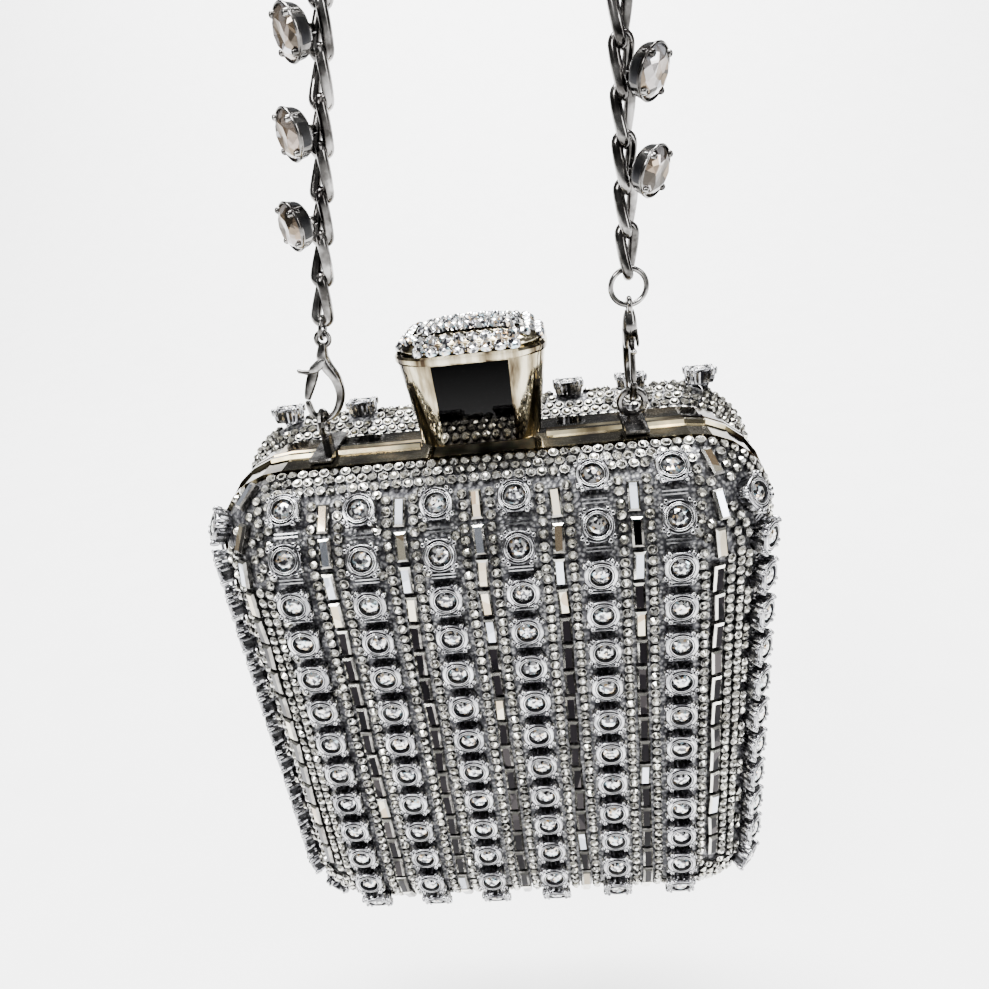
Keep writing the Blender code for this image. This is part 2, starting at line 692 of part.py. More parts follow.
def build_loops(builder, skins):
    """Two strap loops on plates across the frame; the left one faces sideways, the right one forward."""
    for label, x in (("left", LEFT_X), ("right", RIGHT_X)):
        low = (x - TAB_HALF_WIDTH, LOOP_Y - TAB_FRONT, TAB_Z)
        high = (x + TAB_HALF_WIDTH, LOOP_Y + TAB_BACK, TAB_Z + TAB_WALL)
        loop = builder.node(f"{label}_strap_loop", box(low, high), "back_half", skins["chain"])
        if label == "left":
            centre = Vector((x, LOOP_Y, SWING_Z + hook_seat() - LOOP_RADIUS))
            across = (0, 1, 0)
        else:
            centre = Vector((x, LOOP_Y, SWING_Z - LOOP_RADIUS))
            across = (1, 0, 0)
        foot = Vector((x, LOOP_Y, TAB_Z + TAB_WALL / 2))
        top = centre - Vector((0, 0, LOOP_RADIUS))
        builder.change(loop, cylinder(foot, top, LOOP_POST), "back_half", "UNION", "post")
        ring = torus(centre, across, (0, 0, 1), LOOP_RADIUS, LOOP_WIRE)
        builder.change(loop, ring, "back_half", "UNION", "ring")


def hook_seat():
    """Height of a loop's top wire over the hook wire that carries it."""
    return LOOP_WIRE + HOOK_WIRE + FIT_GAP


def strap_ends():
    """Foot, upward direction and inward direction of each claw."""
    left = Vector((LEFT_X, LOOP_Y, SWING_Z))
    right = Vector((RIGHT_X, LOOP_Y, SWING_Z - hook_seat()))
    arch = Vector((ARCH_X, LOOP_Y, ARCH_HEIGHT))
    reach = arch - left
    lean = math.atan2(reach.x, reach.z) - math.asin(ARCH_RADIUS / reach.length)
    up = Vector((math.sin(lean), 0, math.cos(lean)))
    return left, right, up, lean


def chain_frame(distance):
    """Point, direction and outward side of the strap line, by distance from the left hook."""
    left, right, up, lean = strap_ends()
    arch = Vector((ARCH_X, LOOP_Y, ARCH_HEIGHT))
    out = Vector((-math.cos(lean), 0, math.sin(lean)))
    straight = (arch + out * ARCH_RADIUS - left).length
    curve = ARCH_RADIUS * (math.pi - lean)
    if distance < straight:
        return left + up * distance, up, out
    if distance < straight + curve:
        turn = lean + (distance - straight) / ARCH_RADIUS
        out = Vector((-math.cos(turn), 0, math.sin(turn)))
        return arch + out * ARCH_RADIUS, Vector((math.sin(turn), 0, math.cos(turn))), out
    drop = distance - straight - curve
    return arch + Vector((ARCH_RADIUS, 0, -drop)), Vector((0, 0, -1)), Vector((1, 0, 0))


def strap_length():
    left, right, _, lean = strap_ends()
    arch = Vector((ARCH_X, LOOP_Y, ARCH_HEIGHT))
    out = Vector((-math.cos(lean), 0, math.sin(lean)))
    return (arch + out * ARCH_RADIUS - left).length + ARCH_RADIUS * (math.pi - lean) + ARCH_HEIGHT - right.z


def link_wire(builder, name, points, body, skin):
    """A closed bent wire: a poly curve made into a mesh."""
    curve = bpy.data.curves.new(name, "CURVE")
    curve.dimensions = "3D"
    curve.bevel_depth = LINK_WIRE
    curve.bevel_resolution = 1
    spline = curve.splines.new("POLY")
    spline.points.add(len(points) - 1)
    for spot, point in zip(spline.points, points):
        spot.co = (*point, 1)
    spline.use_cyclic_u = True
    temporary = bpy.data.objects.new(name, curve)
    builder.parts.objects.link(temporary)
    data = bpy.data.meshes.new_from_object(temporary)
    bpy.data.objects.remove(temporary)
    mesh = bmesh.new()
    mesh.from_mesh(data)
    bmesh.ops.remove_doubles(mesh, verts=mesh.verts[:], dist=LINK_WIRE / 100)
    bmesh.ops.recalc_face_normals(mesh, faces=mesh.faces[:])
    return builder.node(name, mesh, body, skin)


def tapered_wire(points, radii, out):
    """A bent bar of changing thickness, lofted along points that lie in one plane."""
    rings = []
    last = len(points) - 1
    for i, (point, radius) in enumerate(zip(points, radii)):
        along = (points[min(i + 1, last)] - points[max(i - 1, 0)]).normalized()
        side = along.cross(out)
        ring = []
        for j in range(WIRE_SIDES):
            turn = 2 * math.pi * (j + 0.5) / WIRE_SIDES
            ring.append(point + (side * math.cos(turn) + out * math.sin(turn)) * radius)
        rings.append(ring)
    return loft(rings)


def claw_axes(side):
    """Foot, across and up directions and size of one claw; the left lies flat, the right edge on."""
    left, right, up, lean = strap_ends()
    if side < 0:
        return left, Vector((math.cos(lean), 0, -math.sin(lean))), up, 1
    return right, Vector((0, 1, 0)), Vector((0, 0, 1)), RIGHT_CLAW_SHARE


def build_claws(builder, skins):
    for label, side in (("left", -1), ("right", 1)):
        foot, across, up, size = claw_axes(side)
        out = across.cross(up)

        def to_point(u, w, n, foot=foot, across=across, up=up, out=out, size=size):
            return foot + (across * u + up * w + out * n) * size

        points = [to_point(u, w, 0) for u, w, _ in CLAW_PATH]
        radii = [HOOK_WIRE * share for _, _, share in CLAW_PATH]
        claw = builder.node(f"{label}_claw", tapered_wire(points, radii, out), "strap", skins["chain"])
        eye = torus(to_point(0, EYE_UP, 0), across, up, EYE_RADIUS, EYE_WIRE, 14, 8)
        builder.change(claw, eye, "strap", "UNION", "eye")
        middle = TRIGGER_HALF_WALL + FIT_GAP + CHEEK_WALL / 2
        for name, sign in (("near_cheek", 1), ("far_cheek", -1)):
            cheek = plate(CHEEK_OUTLINE, CHEEK_WALL / 2, sign * middle, to_point)
            builder.change(claw, cheek, "strap", "UNION", name)
        pin = cylinder(to_point(*PIVOT, -middle), to_point(*PIVOT, middle), PIVOT_PIN, 8)
        builder.change(claw, pin, "strap", "UNION", "pin")
        body = f"{label}_trigger_pivot"
        lever = plate(TRIGGER_OUTLINE, TRIGGER_HALF_WALL, 0, to_point)
        trigger = builder.node(f"{label}_trigger", lever, body, skins["chain"])
        bore = cylinder(to_point(*PIVOT, -middle), to_point(*PIVOT, middle), PIVOT_BORE, 10)
        builder.change(trigger, bore, body, "DIFFERENCE", "bore")
        radius = JUMP_RADIUS_LEFT if side < 0 else JUMP_RADIUS_RIGHT
        wire = JUMP_WIRE_LEFT if side < 0 else JUMP_WIRE_RIGHT
        centre = foot + up * (EYE_UP * size + JUMP_SEAT + radius)
        ring = torus(centre, out, up, radius, wire, 16, 8)
        builder.node(f"{label}_jump_ring", ring, "strap", skins["chain"])


def link_shape(distance, half_length):
    """Centre line of one curb link: a long loop twisted a quarter turn along its length."""
    centre, along, out = chain_frame(distance)
    aside = along.cross(out)
    straight = half_length - LINK_HALF_WIDTH
    points = []
    for end in (1, -1):
        for i in range(LINK_END_STEPS + 1):
            angle = math.pi * i / LINK_END_STEPS
            u = end * LINK_HALF_WIDTH * math.cos(angle)
            v = end * (straight + LINK_HALF_WIDTH * math.sin(angle))
            twist = math.radians(LINK_TWIST) * (v / half_length + 1) / 2
            points.append(centre + along * v + (out * math.cos(twist) + aside * math.sin(twist)) * u)
    return points


def build_chain(builder, skins):
    """Rigid curb links from claw to claw; every second one carries a set stone."""
    seat_left = LINK_WIRE + JUMP_WIRE_LEFT + JUMP_GAP
    seat_right = LINK_WIRE + JUMP_WIRE_RIGHT + JUMP_GAP
    ring_left = EYE_UP + JUMP_SEAT + 2 * JUMP_RADIUS_LEFT
    ring_right = EYE_UP * RIGHT_CLAW_SHARE + JUMP_SEAT + 2 * JUMP_RADIUS_RIGHT
    start = ring_left - seat_left
    end = strap_length() - ring_right + seat_right
    overlap = 2 * LINK_WIRE + FIT_GAP
    pitch = (end - start - overlap) / LINK_COUNT
    half_length = (pitch + overlap) / 2
    for number in range(LINK_COUNT):
        distance = start + half_length + number * pitch
        points = link_shape(distance, half_length)
        name = f"chain_link_{number + 1:02d}"
        link = link_wire(builder, name, points, "strap", skins["chain"])
        if number % 2 == 0 and 0 < number < LINK_COUNT - 1:
            centre, along, out = chain_frame(distance)
            facing = (out + along.cross(out)).normalized()
            leg = centre + facing * LINK_HALF_WIDTH
            base = centre + facing * SETTING_START
            seat = base + facing * LINK_WIRE
            builder.change(
                link, cylinder(leg, seat, SETTING_STEM, WIRE_SIDES), "strap", "UNION", "stem",
            )
            cup = cylinder(
                base, base + facing * SETTING_DEPTH,
                SETTING_RADIUS * SETTING_BASE_SHARE, SETTING_SIDES, SETTING_RADIUS,
            )
            builder.change(link, cup, "strap", "UNION", "cup")


def main():
    clear_scene()
    skins = {
        "shell": material("shell_enamel", (0.16, 0.17, 0.18), 0.6, 0.4),
        "lining": material("lining_cloth", (0.08, 0.08, 0.09), 0, 0.8),
        "rail": material("rail_gold", (0.78, 0.72, 0.55), 1, 0.12),
        "setting": material("setting_silver", (0.75, 0.76, 0.78), 1, 0.2),
        "hinge": material("hinge_steel", (0.55, 0.55, 0.56), 1, 0.3),
        "chain": material("chain_nickel", (0.42, 0.42, 0.43), 1, 0.25),
    }
    builder = Builder()
    builder.body("strap", STRAP_TOP)
    builder.body("back_half", (0, LOOP_Y, SWING_Z), "strap")
    builder.body("front_half", (0, 0, HINGE_Z), "back_half")
    builder.body("clasp_knob", (0, STEM_Y, KNOB_Z), "back_half")
    for label, side in (("left", -1), ("right", 1)):
        foot, across, up, size = claw_axes(side)
        pivot = foot + (across * PIVOT[0] + up * PIVOT[1]) * size
        builder.body(f"{label}_trigger_pivot", pivot, "strap")
    build_half(builder, "front_half", False, skins)
    build_half(builder, "back_half", True, skins)
    build_hinge(builder, skins)
    build_clasp(builder, skins)
    build_loops(builder, skins)
    build_claws(builder, skins)
    build_chain(builder, skins)


main()
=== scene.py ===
"""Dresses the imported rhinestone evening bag: set stones, frame, knob, chain, light and camera."""
import math
import random

import bpy
import numpy as np
from mathutils import Matrix, Vector


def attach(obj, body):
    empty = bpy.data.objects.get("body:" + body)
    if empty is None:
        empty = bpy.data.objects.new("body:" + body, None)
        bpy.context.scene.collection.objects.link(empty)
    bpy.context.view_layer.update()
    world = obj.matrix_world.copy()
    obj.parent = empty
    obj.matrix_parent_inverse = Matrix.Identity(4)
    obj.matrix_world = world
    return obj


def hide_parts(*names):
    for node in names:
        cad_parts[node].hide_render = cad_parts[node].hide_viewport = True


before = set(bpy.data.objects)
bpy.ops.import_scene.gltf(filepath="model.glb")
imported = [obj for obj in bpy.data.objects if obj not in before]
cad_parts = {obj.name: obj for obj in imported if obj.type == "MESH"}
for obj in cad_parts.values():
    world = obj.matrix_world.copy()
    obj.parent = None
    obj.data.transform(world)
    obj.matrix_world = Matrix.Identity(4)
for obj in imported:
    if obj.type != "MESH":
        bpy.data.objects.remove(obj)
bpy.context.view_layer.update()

# Sizes in metres and angles in degrees, repeated from the part's source. The bag's own frame has
# its origin in the middle of the case; DROP lowers it so that the strap's top is the origin.
FIT_GAP = 0.0003
FACE_HALF_WIDTH = 0.0425
FACE_HALF_HEIGHT = 0.0466
FACE_CORNER = 0.005
FACE_DEPTH = 0.026
SHOULDER_RADIUS = 0.0229
CORNER_GROWTH = 0.013
RIM_DEPTH = 0.0099
BACK_SHOULDER_RADIUS = 0.0055
BACK_FLARE = 26
RAIL_STAND = 0.0012
COLUMN_PITCH = 0.017
COLUMN_SHIFT = -0.0015
COLUMN_OFFSETS = (-0.0007, -0.002, -0.0021, -0.0018, 0.0012, 0.0016)
ROW_PITCH = 0.01017
ROW_COUNT = 13
SHORT_ROW_COUNT = 12
TOP_ROW_RUN = 0.0661
RUN_LIFT = 0.001
SIDE_TOP_RUN = 0.0583
SIDE_ANGLE_NEAR = 49
SIDE_ANGLE_FAR = 64
BACK_ROW_COUNT = 14
BACK_TOP_ROW_RUN = 0.0768
BACK_COLUMNS = (-0.0557, -0.038, -0.0218, -0.0045, 0.0129, 0.0331, 0.0533)
STRIP_BASE = 0.0006
TWIN_LINE_STEP = 0.0069
LINE_TOP_RUN = 0.0665
BACK_LINE_TOP_RUN = 0.066
SIDE_LINE_RUN = 0.046
KNOB_Y = -0.0008
KNOB_LIFT = 0.0021
KNOB_FOOT_HALF = (0.0139, 0.0085)
KNOB_HEAD_HALF = (0.0163, 0.012)
KNOB_FOOT_CORNER = 0.0058
KNOB_HEAD_CORNER = 0.008
KNOB_HEIGHT = 0.0217
KNOB_RIM_HEIGHT = 0.0018
KNOB_RIM_STAND = 0.0006
KNOB_WALL = 0.0015
DOME_RISE = 0.0057
LOOP_X = 0.0368
LOOP_SHIFT = -0.0012
LOOP_Y = 0.00116
SWING_RISE = 0.008
LOOP_WIRE = 0.00085
HOOK_WIRE = 0.0008
EYE_UP = 0.0195
RIGHT_CLAW_SHARE = 1.1
JUMP_SEAT = 0.0001
JUMP_GAP = 0.0003
JUMP_RADIUS_LEFT = 0.0025
JUMP_WIRE_LEFT = 0.00045
JUMP_RADIUS_RIGHT = 0.0039
JUMP_WIRE_RIGHT = 0.0006
ARCH_RADIUS = 0.0281
ARCH_HEIGHT = 0.15735
LINK_COUNT = 23
LINK_WIRE = 0.0009
SETTING_START = 0.0039

RIM_ANGLE = math.acos(1 - (FACE_DEPTH - RIM_DEPTH) / SHOULDER_RADIUS)
RIM_HALF_WIDTH = FACE_HALF_WIDTH + SHOULDER_RADIUS * math.sin(RIM_ANGLE)
RIM_HALF_HEIGHT = FACE_HALF_HEIGHT + SHOULDER_RADIUS * math.sin(RIM_ANGLE)
RIM_CORNER = FACE_CORNER + CORNER_GROWTH * math.sin(RIM_ANGLE)
BACK_ANGLE = math.radians(90 + BACK_FLARE)
BACK_TURN_DEPTH = FACE_DEPTH - BACK_SHOULDER_RADIUS * (1 - math.cos(BACK_ANGLE))
BACK_DROP = (BACK_TURN_DEPTH - RIM_DEPTH) * math.tan(math.radians(BACK_FLARE))
BACK_REACH = BACK_SHOULDER_RADIUS * math.sin(BACK_ANGLE) - BACK_DROP
RAIL_TOP = RIM_HALF_HEIGHT + RAIL_STAND
KNOB_Z = RAIL_TOP + KNOB_LIFT
SWING_Z = RAIL_TOP + SWING_RISE
LEFT_X = LOOP_SHIFT - LOOP_X
RIGHT_X = LOOP_SHIFT + LOOP_X
ARCH_X = RIGHT_X - ARCH_RADIUS
DROP = Vector((-ARCH_X, 0, -ARCH_HEIGHT - ARCH_RADIUS))

# The strap's line: straight up from the left claw's foot, over the arch and down to the right one.
LEFT_FOOT = Vector((LEFT_X, LOOP_Y, SWING_Z))
RIGHT_FOOT = Vector((RIGHT_X, LOOP_Y, SWING_Z - LOOP_WIRE - HOOK_WIRE - FIT_GAP))
ARCH = Vector((ARCH_X, LOOP_Y, ARCH_HEIGHT))
LEAN = math.atan2(*(ARCH - LEFT_FOOT).xz) - math.asin(ARCH_RADIUS / (ARCH - LEFT_FOOT).length)
STRAP_UP = Vector((math.sin(LEAN), 0, math.cos(LEAN)))
STRAP_OUT = Vector((-math.cos(LEAN), 0, math.sin(LEAN)))
STRAIGHT_LENGTH = (ARCH + STRAP_OUT * ARCH_RADIUS - LEFT_FOOT).length
ARCH_LENGTH = ARCH_RADIUS * (math.pi - LEAN)

# The rest is shown by the scene alone. First the skins, and how stones are laid on them.
SMOOTH_LIMIT = 38
CORNER_STEPS = 14
SHOULDER_STEPS = 14
SKIN_WALL = 0.0003
BACK_INSET = 0.0013
BACK_FLARE_LENGTH = 0.0103
SMALL_PITCH = 0.0026
SMALL_SPACING = 0.00215
FIELD_PITCH = 0.0025
FIELD_START = 0.0013
FACE_BORDER = 0.004
CUP_CLEARANCE = 0.0047
SIDE_CLEARANCE = 0.0060
LANE_CLEARANCE = 0.0034
BAGUETTE_CLEARANCE = 0.0025
BAGUETTE_PITCH = 0.0076
LINE_SPREAD = 0.003
BLOCK_STEP = 0.002
LINE_JITTER = 0.001
STONE_JITTER = 0.0002
CORNER_TRIES = 24
# Baguettes on the two upper corners of the front, by distance across and height.
CORNER_STONES = (
    (-0.0555, 0.0503), (-0.0552, 0.0578), (-0.0543, 0.0650),
    (0.0498, 0.0503), (0.0502, 0.0577), (0.0497, 0.0648),
)
# Chance of a painted bright reflection on a table, and of a bright or warm one, above the run and below it.
TOP_STONES_RUN = 0.045
TOP_REFLECTION_CHANCES = (0.60, 0.85)
LOW_REFLECTION_CHANCES = (0.12, 0.24)
# The most that stones lean or turn, in degrees.
STONE_TIP = 14
GEM_TIP = 4
BAGUETTE_TIP = 3
BAGUETTE_SPIN = 3

# Small stones and baguettes. Steps give shares of the size and a height.
SMALL_RADIUS = 0.00121
SMALL_SIDES = 8
SMALL_STEPS = ((0.90, 0.0), (1.0, 0.0006), (0.94, 0.0008), (0.86, 0.0008), (0.84, 0.0007), (0.36, 0.0013))
SMALL_CUP_BANDS = 4
BAGUETTE_WIDTH = 0.0027
BAGUETTE_LENGTH = 0.0067
BAGUETTE_STEPS = ((0.5, 0.5, 0.0), (0.5, 0.5, 0.0010), (0.46, 0.485, 0.0012), (0.29, 0.42, 0.0016))
# Frame bands, then bevels painted shaded on two sides and lit on two, then the painted reflection table.
BAGUETTE_SLOTS = [1] * 8 + [3, 3, 0, 0, 4]

# Cups. A row is half its width, the softness of its square (2 is a circle), its height, its form and
# the band from it to the next row. Dark bands, windows and slots take painted shade, and wall bands a
# silver darkened as painted shade.
CUP_SIDES = 48
CUP_ROWS = (
    (0.0029, 5, -FIT_GAP - STRIP_BASE, "fluted", "window"), (0.0032, 5, 0.0, "fluted", "window"),
    (0.0034, 5, 0.0018, "fluted", "window"), (0.0036, 3, 0.0022, "plain", "wall"),
    (0.0037, 2.4, 0.0025, "plain", "wall"), (0.0036, 2.2, 0.00275, "plain", "wall"),
    (0.00345, 2, 0.0029, "plain", "slot"), (0.00332, 2, 0.0029, "slotted", "slot"),
    (0.00310, 2, 0.0029, "slotted", "slot"), (0.00305, 2, 0.0030, "plain", "ring"),
    (0.00287, 2, 0.0030, "plain", "dark"), (0.00282, 2, 0.0024, "plain", "dark"),
    (0.00270, 2, 0.0024, "plain", "dark"), (0.00266, 2, 0.0030, "plain", "ring"),
    (0.00247, 2, 0.0030, "plain", "dark"), (0.00240, 2, 0.0022, "plain", ""),
)
FLAT_BANDS = 4
FLUTE_SHARE = 0.07
FLUTE_COUNT = 24
WINDOW_HALF_ANGLE = 8
SLOT_HALF_ANGLE = 42
SLOT_DEPTH = 0.0005
SLOT_EDGE = 0.00005
# Claws: distance from the middle, radius, foot and top. Steps give shares of radius and rise, and the
# slot of the band below, where 1 is painted shade.
CUP_CLAW = (0.0042, 0.00062, 0.0012, 0.0031)
CLAW_ASIDE = 9
CLAW_SIDES = 10
CLAW_STEPS = ((0.7, 0.0, 0), (1.0, 0.6, 0), (0.86, 0.86, 0), (0.62, 0.97, 0), (0.42, 1.0, 0), (0.36, 0.92, 1))
BAR_HALF_LENGTH = 0.0027
BAR_HALF_WIDTH = 0.00016
BAR_APART = 0.0004
BAR_RISE = 0.0006
BAR_LIFT = 0.0010
# Round stones: radii of girdle and table, and heights of girdle, waist and table.
GEM_SIDES = 8
CUP_GEM = (0.00235, 0.0012, 0.0022, 0.0027, 0.0030)
PAVE_HEIGHT = 0.001
PAVE_GEM = (0.0015, 0.0007, 0.0, 0.0006, PAVE_HEIGHT)
STRAP_GEM = (0.0047, 0.0026, 0.0033, 0.0044, 0.005)

# The knob. A step is an outline, the distance set in from it and a height over the knob's foot.
KNOB_UNDER = KNOB_HEIGHT - KNOB_RIM_HEIGHT
KNOB_HEAD = (*KNOB_HEAD_HALF, KNOB_HEAD_CORNER)
KNOB_OUTLINES = {
    "foot": (*KNOB_FOOT_HALF, KNOB_FOOT_CORNER), "head": KNOB_HEAD,
    "rim": tuple(size + KNOB_RIM_STAND for size in KNOB_HEAD),
}
KNOB_STEPS = (
    ("foot", KNOB_WALL, 0.0012), ("foot", KNOB_WALL, 0), ("foot", 0.0003, 0), ("foot", 0, 0.0003),
    ("head", 0, KNOB_UNDER - 0.0003), ("head", 0, KNOB_UNDER), ("rim", 0.0002, KNOB_UNDER),
    ("rim", 0, KNOB_UNDER + 0.0004), ("rim", 0, KNOB_UNDER + 0.0013), ("rim", 0.0004, KNOB_HEIGHT),
    ("rim", 0.0016, KNOB_HEIGHT),
)
KNOB_CORNER_STEPS = 10
# The band of the knob whose flat faces take the painted reflection.
PAINTED_REFLECTION_BAND = 3
DOME_BASE = KNOB_HEIGHT + FIT_GAP
DOME_STEPS = 8
DOME_INSET = 0.0005
DOME_POWER = 2.9
DOME_LIMIT = 0.978
DOME_TIP = 0.0001
CAP_SINK = 0.0004
# Rows round the dome: set in, lift, lean, and whether the rounded corners stay plain.
DOME_ROWS = ((0.0009, 0.0007, 0.9, True), (0.0029, 0.0024, 1.5, False))
PLAIN_CORNER_SHARE = 0.35
PAVE_PITCH = 0.0029
PAVE_ROW = 0.0025
PAVE_COLUMNS = 8
PAVE_SPACING = 0.0022

# Strap and claws.
LINK_BODY = 0.00118
LINK_HALF_WIDTH = 0.0016
LINK_END_STEPS = 10
LINK_SIDE_STEPS = 6
LINK_ROUNDNESS = 3
STONE_SAG = 0.3
STONE_FRONT = 0.8
STEM_SIDES = 10
STEM_RADIUS = 0.001
STEM_TOP = 0.0002
# The barrel's radius, height and whether the band below shows windows painted as shade; then its prongs, as
# claws are.
SETTING_SIDES = 40
SETTING_STEPS = (
    (0.0024, 0.0, 0), (0.0038, 0.0001, 0), (0.0043, 0.0006, 0), (0.0046, 0.0012, 1), (0.0049, 0.0027, 1),
    (0.0051, 0.0030, 0), (0.0052, 0.0034, 0), (0.0050, 0.0037, 0), (0.0048, 0.0036, 0), (0.0047, 0.0033, 1),
)
PRONG = (0.0044, 0.0008, 0.002, 0.0046)
PRONG_HALF_ANGLE = 14
CURVE_STEPS = 5
BAR_SIDES = 14
RING_STEPS = 32
EYE_RADIUS = 0.0015
EYE_WIRE = 0.0006
CHEEK_STAND = 0.00125
# Paths in a claw's own plane: across, up, half width and half depth.
CLAW_PATH = (
    (0.0, 0.0186, 0.0009, 0.0009), (0.0, 0.0172, 0.0012, 0.0013), (0.0, 0.0152, 0.0015, 0.0015),
    (0.0010, 0.0132, 0.0015, 0.0015), (0.0031, 0.0105, 0.0013, 0.0013), (0.0042, 0.007, 0.0011, 0.0011),
    (0.0037, 0.0036, 0.00096, 0.00096), (0.0022, 0.0010, 0.00084, 0.00084), (0.0, 0.0, 0.0008, 0.0008),
    (-0.0022, 0.0011, 0.0008, 0.0008), (-0.0033, 0.0034, 0.0008, 0.0008), (-0.0035, 0.0043, 0.0006, 0.0006),
)
CHEEK_PATH = (
    (-0.0029, 0.0119, 0.0002, 0.0001), (-0.0022, 0.0122, 0.0009, 0.0003), (-0.0006, 0.0136, 0.0011, 0.0003),
    (0.0003, 0.0148, 0.0007, 0.0003), (0.0005, 0.0152, 0.0002, 0.0001),
)
TRIGGER_PATH = (
    (-0.0017, 0.0131, 0.0003, 0.0002), (-0.0018, 0.0126, 0.0010, 0.00062), (-0.0023, 0.0108, 0.0013, 0.00062),
    (-0.0030, 0.0080, 0.0012, 0.00062), (-0.0035, 0.0056, 0.0009, 0.0006), (-0.0036, 0.0047, 0.0007, 0.0005),
)
THUMB_PATH = (
    (-0.0024, 0.0115, 0.0003, 0.0003), (-0.0032, 0.0112, 0.0006, 0.0006), (-0.0048, 0.0112, 0.00045, 0.0006),
    (-0.0057, 0.0113, 0.0005, 0.0006), (-0.0060, 0.0112, 0.0002, 0.0002),
)

# Materials: the part of the noise that the tones span, and how much finer the dents are.
TONES_START = 0.37
TONES_END = 0.63
DENT_SHARE = 1.7
COAT_ROUGHNESS = 0.03

# Stage, light and camera.
FLOOR = -0.34
SWEEP_FRONT = 6.0
SWEEP_BACK = 0.8
SWEEP_RADIUS = 1.6
SWEEP_TURN = 62
SWEEP_STEPS = 24
# A light is a name, a place, a target, a width and height, and its watts.
LIGHTS = (
    ("key", (-0.5, -0.6, 0.55), DROP, (0.3, 0.3), 11),
    ("fill", (0.75, -0.45, 0.15), DROP, (0.2, 0.7), 5),
    ("top", (0.0, 0.1, 0.8), DROP, (0.5, 0.25), 9),
    ("soft_front", (-0.06, -0.42, 0.72), DROP, (0.8, 0.5), 4.0),
    ("stage_wash", (0.0, 1.0, 2.4), (0.0, 1.9, 0.1), (2.6, 1.6), 520),
)
WORLD_STRENGTH = 0.22
IMAGE_WIDTH = 989
FOCAL_PX = 720
SENSOR_WIDTH = 36

rng = random.Random(7)


def new_material(name):
    made = bpy.data.materials.new(name)
    made.use_nodes = True
    return made, made.node_tree, made.node_tree.nodes["Principled BSDF"]


def surface_noise(tree, scale, detail=4, upright=1):
    place = tree.nodes.new("ShaderNodeTexCoord")
    stretch = tree.nodes.new("ShaderNodeMapping")
    stretch.inputs["Scale"].default_value = (1, 1, upright)
    noise = tree.nodes.new("ShaderNodeTexNoise")
    noise.inputs["Scale"].default_value = scale
    noise.inputs["Detail"].default_value = detail
    tree.links.new(place.outputs["Object"], stretch.inputs["Vector"])
    tree.links.new(stretch.outputs["Vector"], noise.inputs["Vector"])
    return noise.outputs["Fac"]


def small_cells(tree, size):
    place = tree.nodes.new("ShaderNodeTexCoord")
    cells = tree.nodes.new("ShaderNodeTexVoronoi")
    cells.inputs["Scale"].default_value = 1 / size
    tree.links.new(place.outputs["Object"], cells.inputs["Vector"])
    return cells


def ramp(tree, source, stops):
    """Colour stops over a factor; each stop is a position and a colour."""
    made = tree.nodes.new("ShaderNodeValToRGB")
    band = made.color_ramp
    while len(band.elements) < len(stops):
        band.elements.new(0.5)
    for element, (at, colour) in zip(band.elements, stops):
        element.position = at
        element.color = (*colour, 1)
    tree.links.new(source, made.inputs["Fac"])
    return made.outputs["Color"]


def span(tree, source, low, high):
    made = tree.nodes.new("ShaderNodeMapRange")
    made.inputs["To Min"].default_value = low
    made.inputs["To Max"].default_value = high
    tree.links.new(source, made.inputs["Value"])
    return made.outputs["Result"]


def bump(tree, shader, source, distance):
    made = tree.nodes.new("ShaderNodeBump")
    made.inputs["Distance"].default_value = distance
    tree.links.new(source, made.inputs["Height"])
    tree.links.new(made.outputs["Normal"], shader.inputs["Normal"])


def metal(name, tones, gloss, scale=220, dents=0.00002, upright=1):
    """A plated metal: its tone wanders through the tones and its gloss between two roughnesses.

    An upright below one draws the tones out into streaks."""
    made, tree, shader = new_material(name)
    grain = surface_noise(tree, scale, 4, upright)
    step = (TONES_END - TONES_START) / (len(tones) - 1)
    stops = [(TONES_START + step * number, tone) for number, tone in enumerate(tones)]
    tree.links.new(ramp(tree, grain, stops), shader.inputs["Base Color"])
    tree.links.new(span(tree, grain, *gloss), shader.inputs["Roughness"])
    shader.inputs["Metallic"].default_value = 1
    bump(tree, shader, surface_noise(tree, scale * DENT_SHARE), dents)
    return made


def stone(name, stops, cell, metallic, roughness, coat=0.6):
    """Cut glass with painted sparkle: each small cell of the stone takes its own tint, from painted shade to
    painted glint.
    """
    made, tree, shader = new_material(name)
    split = tree.nodes.new("ShaderNodeSeparateColor")
    tree.links.new(small_cells(tree, cell).outputs["Color"], split.inputs["Color"])
    tree.links.new(ramp(tree, split.outputs["Red"], stops), shader.inputs["Base Color"])
    shader.inputs["Metallic"].default_value = metallic
    shader.inputs["Roughness"].default_value = roughness
    shader.inputs["Coat Weight"].default_value = coat
    shader.inputs["Coat Roughness"].default_value = COAT_ROUGHNESS
    return made


def painted_reflection_face(name, foot, head):
    """A mirror painted black as a dark reflection, paler towards its foot as a painted reflection of the
    stones in front of it.
    """
    made, tree, shader = new_material(name)
    place = tree.nodes.new("ShaderNodeTexCoord")
    split = tree.nodes.new("ShaderNodeSeparateXYZ")
    tree.links.new(place.outputs["Object"], split.inputs["Vector"])
    rise = tree.nodes.new("ShaderNodeMapRange")
    rise.inputs["From Min"].default_value = foot
    rise.inputs["From Max"].default_value = head
    tree.links.new(split.outputs["Z"], rise.inputs["Value"])
    tones = ramp(tree, rise.outputs["Result"], (
        (0.0, (0.70, 0.66, 0.56)), (0.18, (0.36, 0.34, 0.31)), (0.32, (0.006, 0.006, 0.006)),
        (0.9, (0.001, 0.001, 0.001)),
    ))
    tree.links.new(tones, shader.inputs["Base Color"])
    tree.links.new(span(tree, surface_noise(tree, 60), 0.02, 0.07), shader.inputs["Roughness"])
    shader.inputs["Metallic"].default_value = 1
    return made


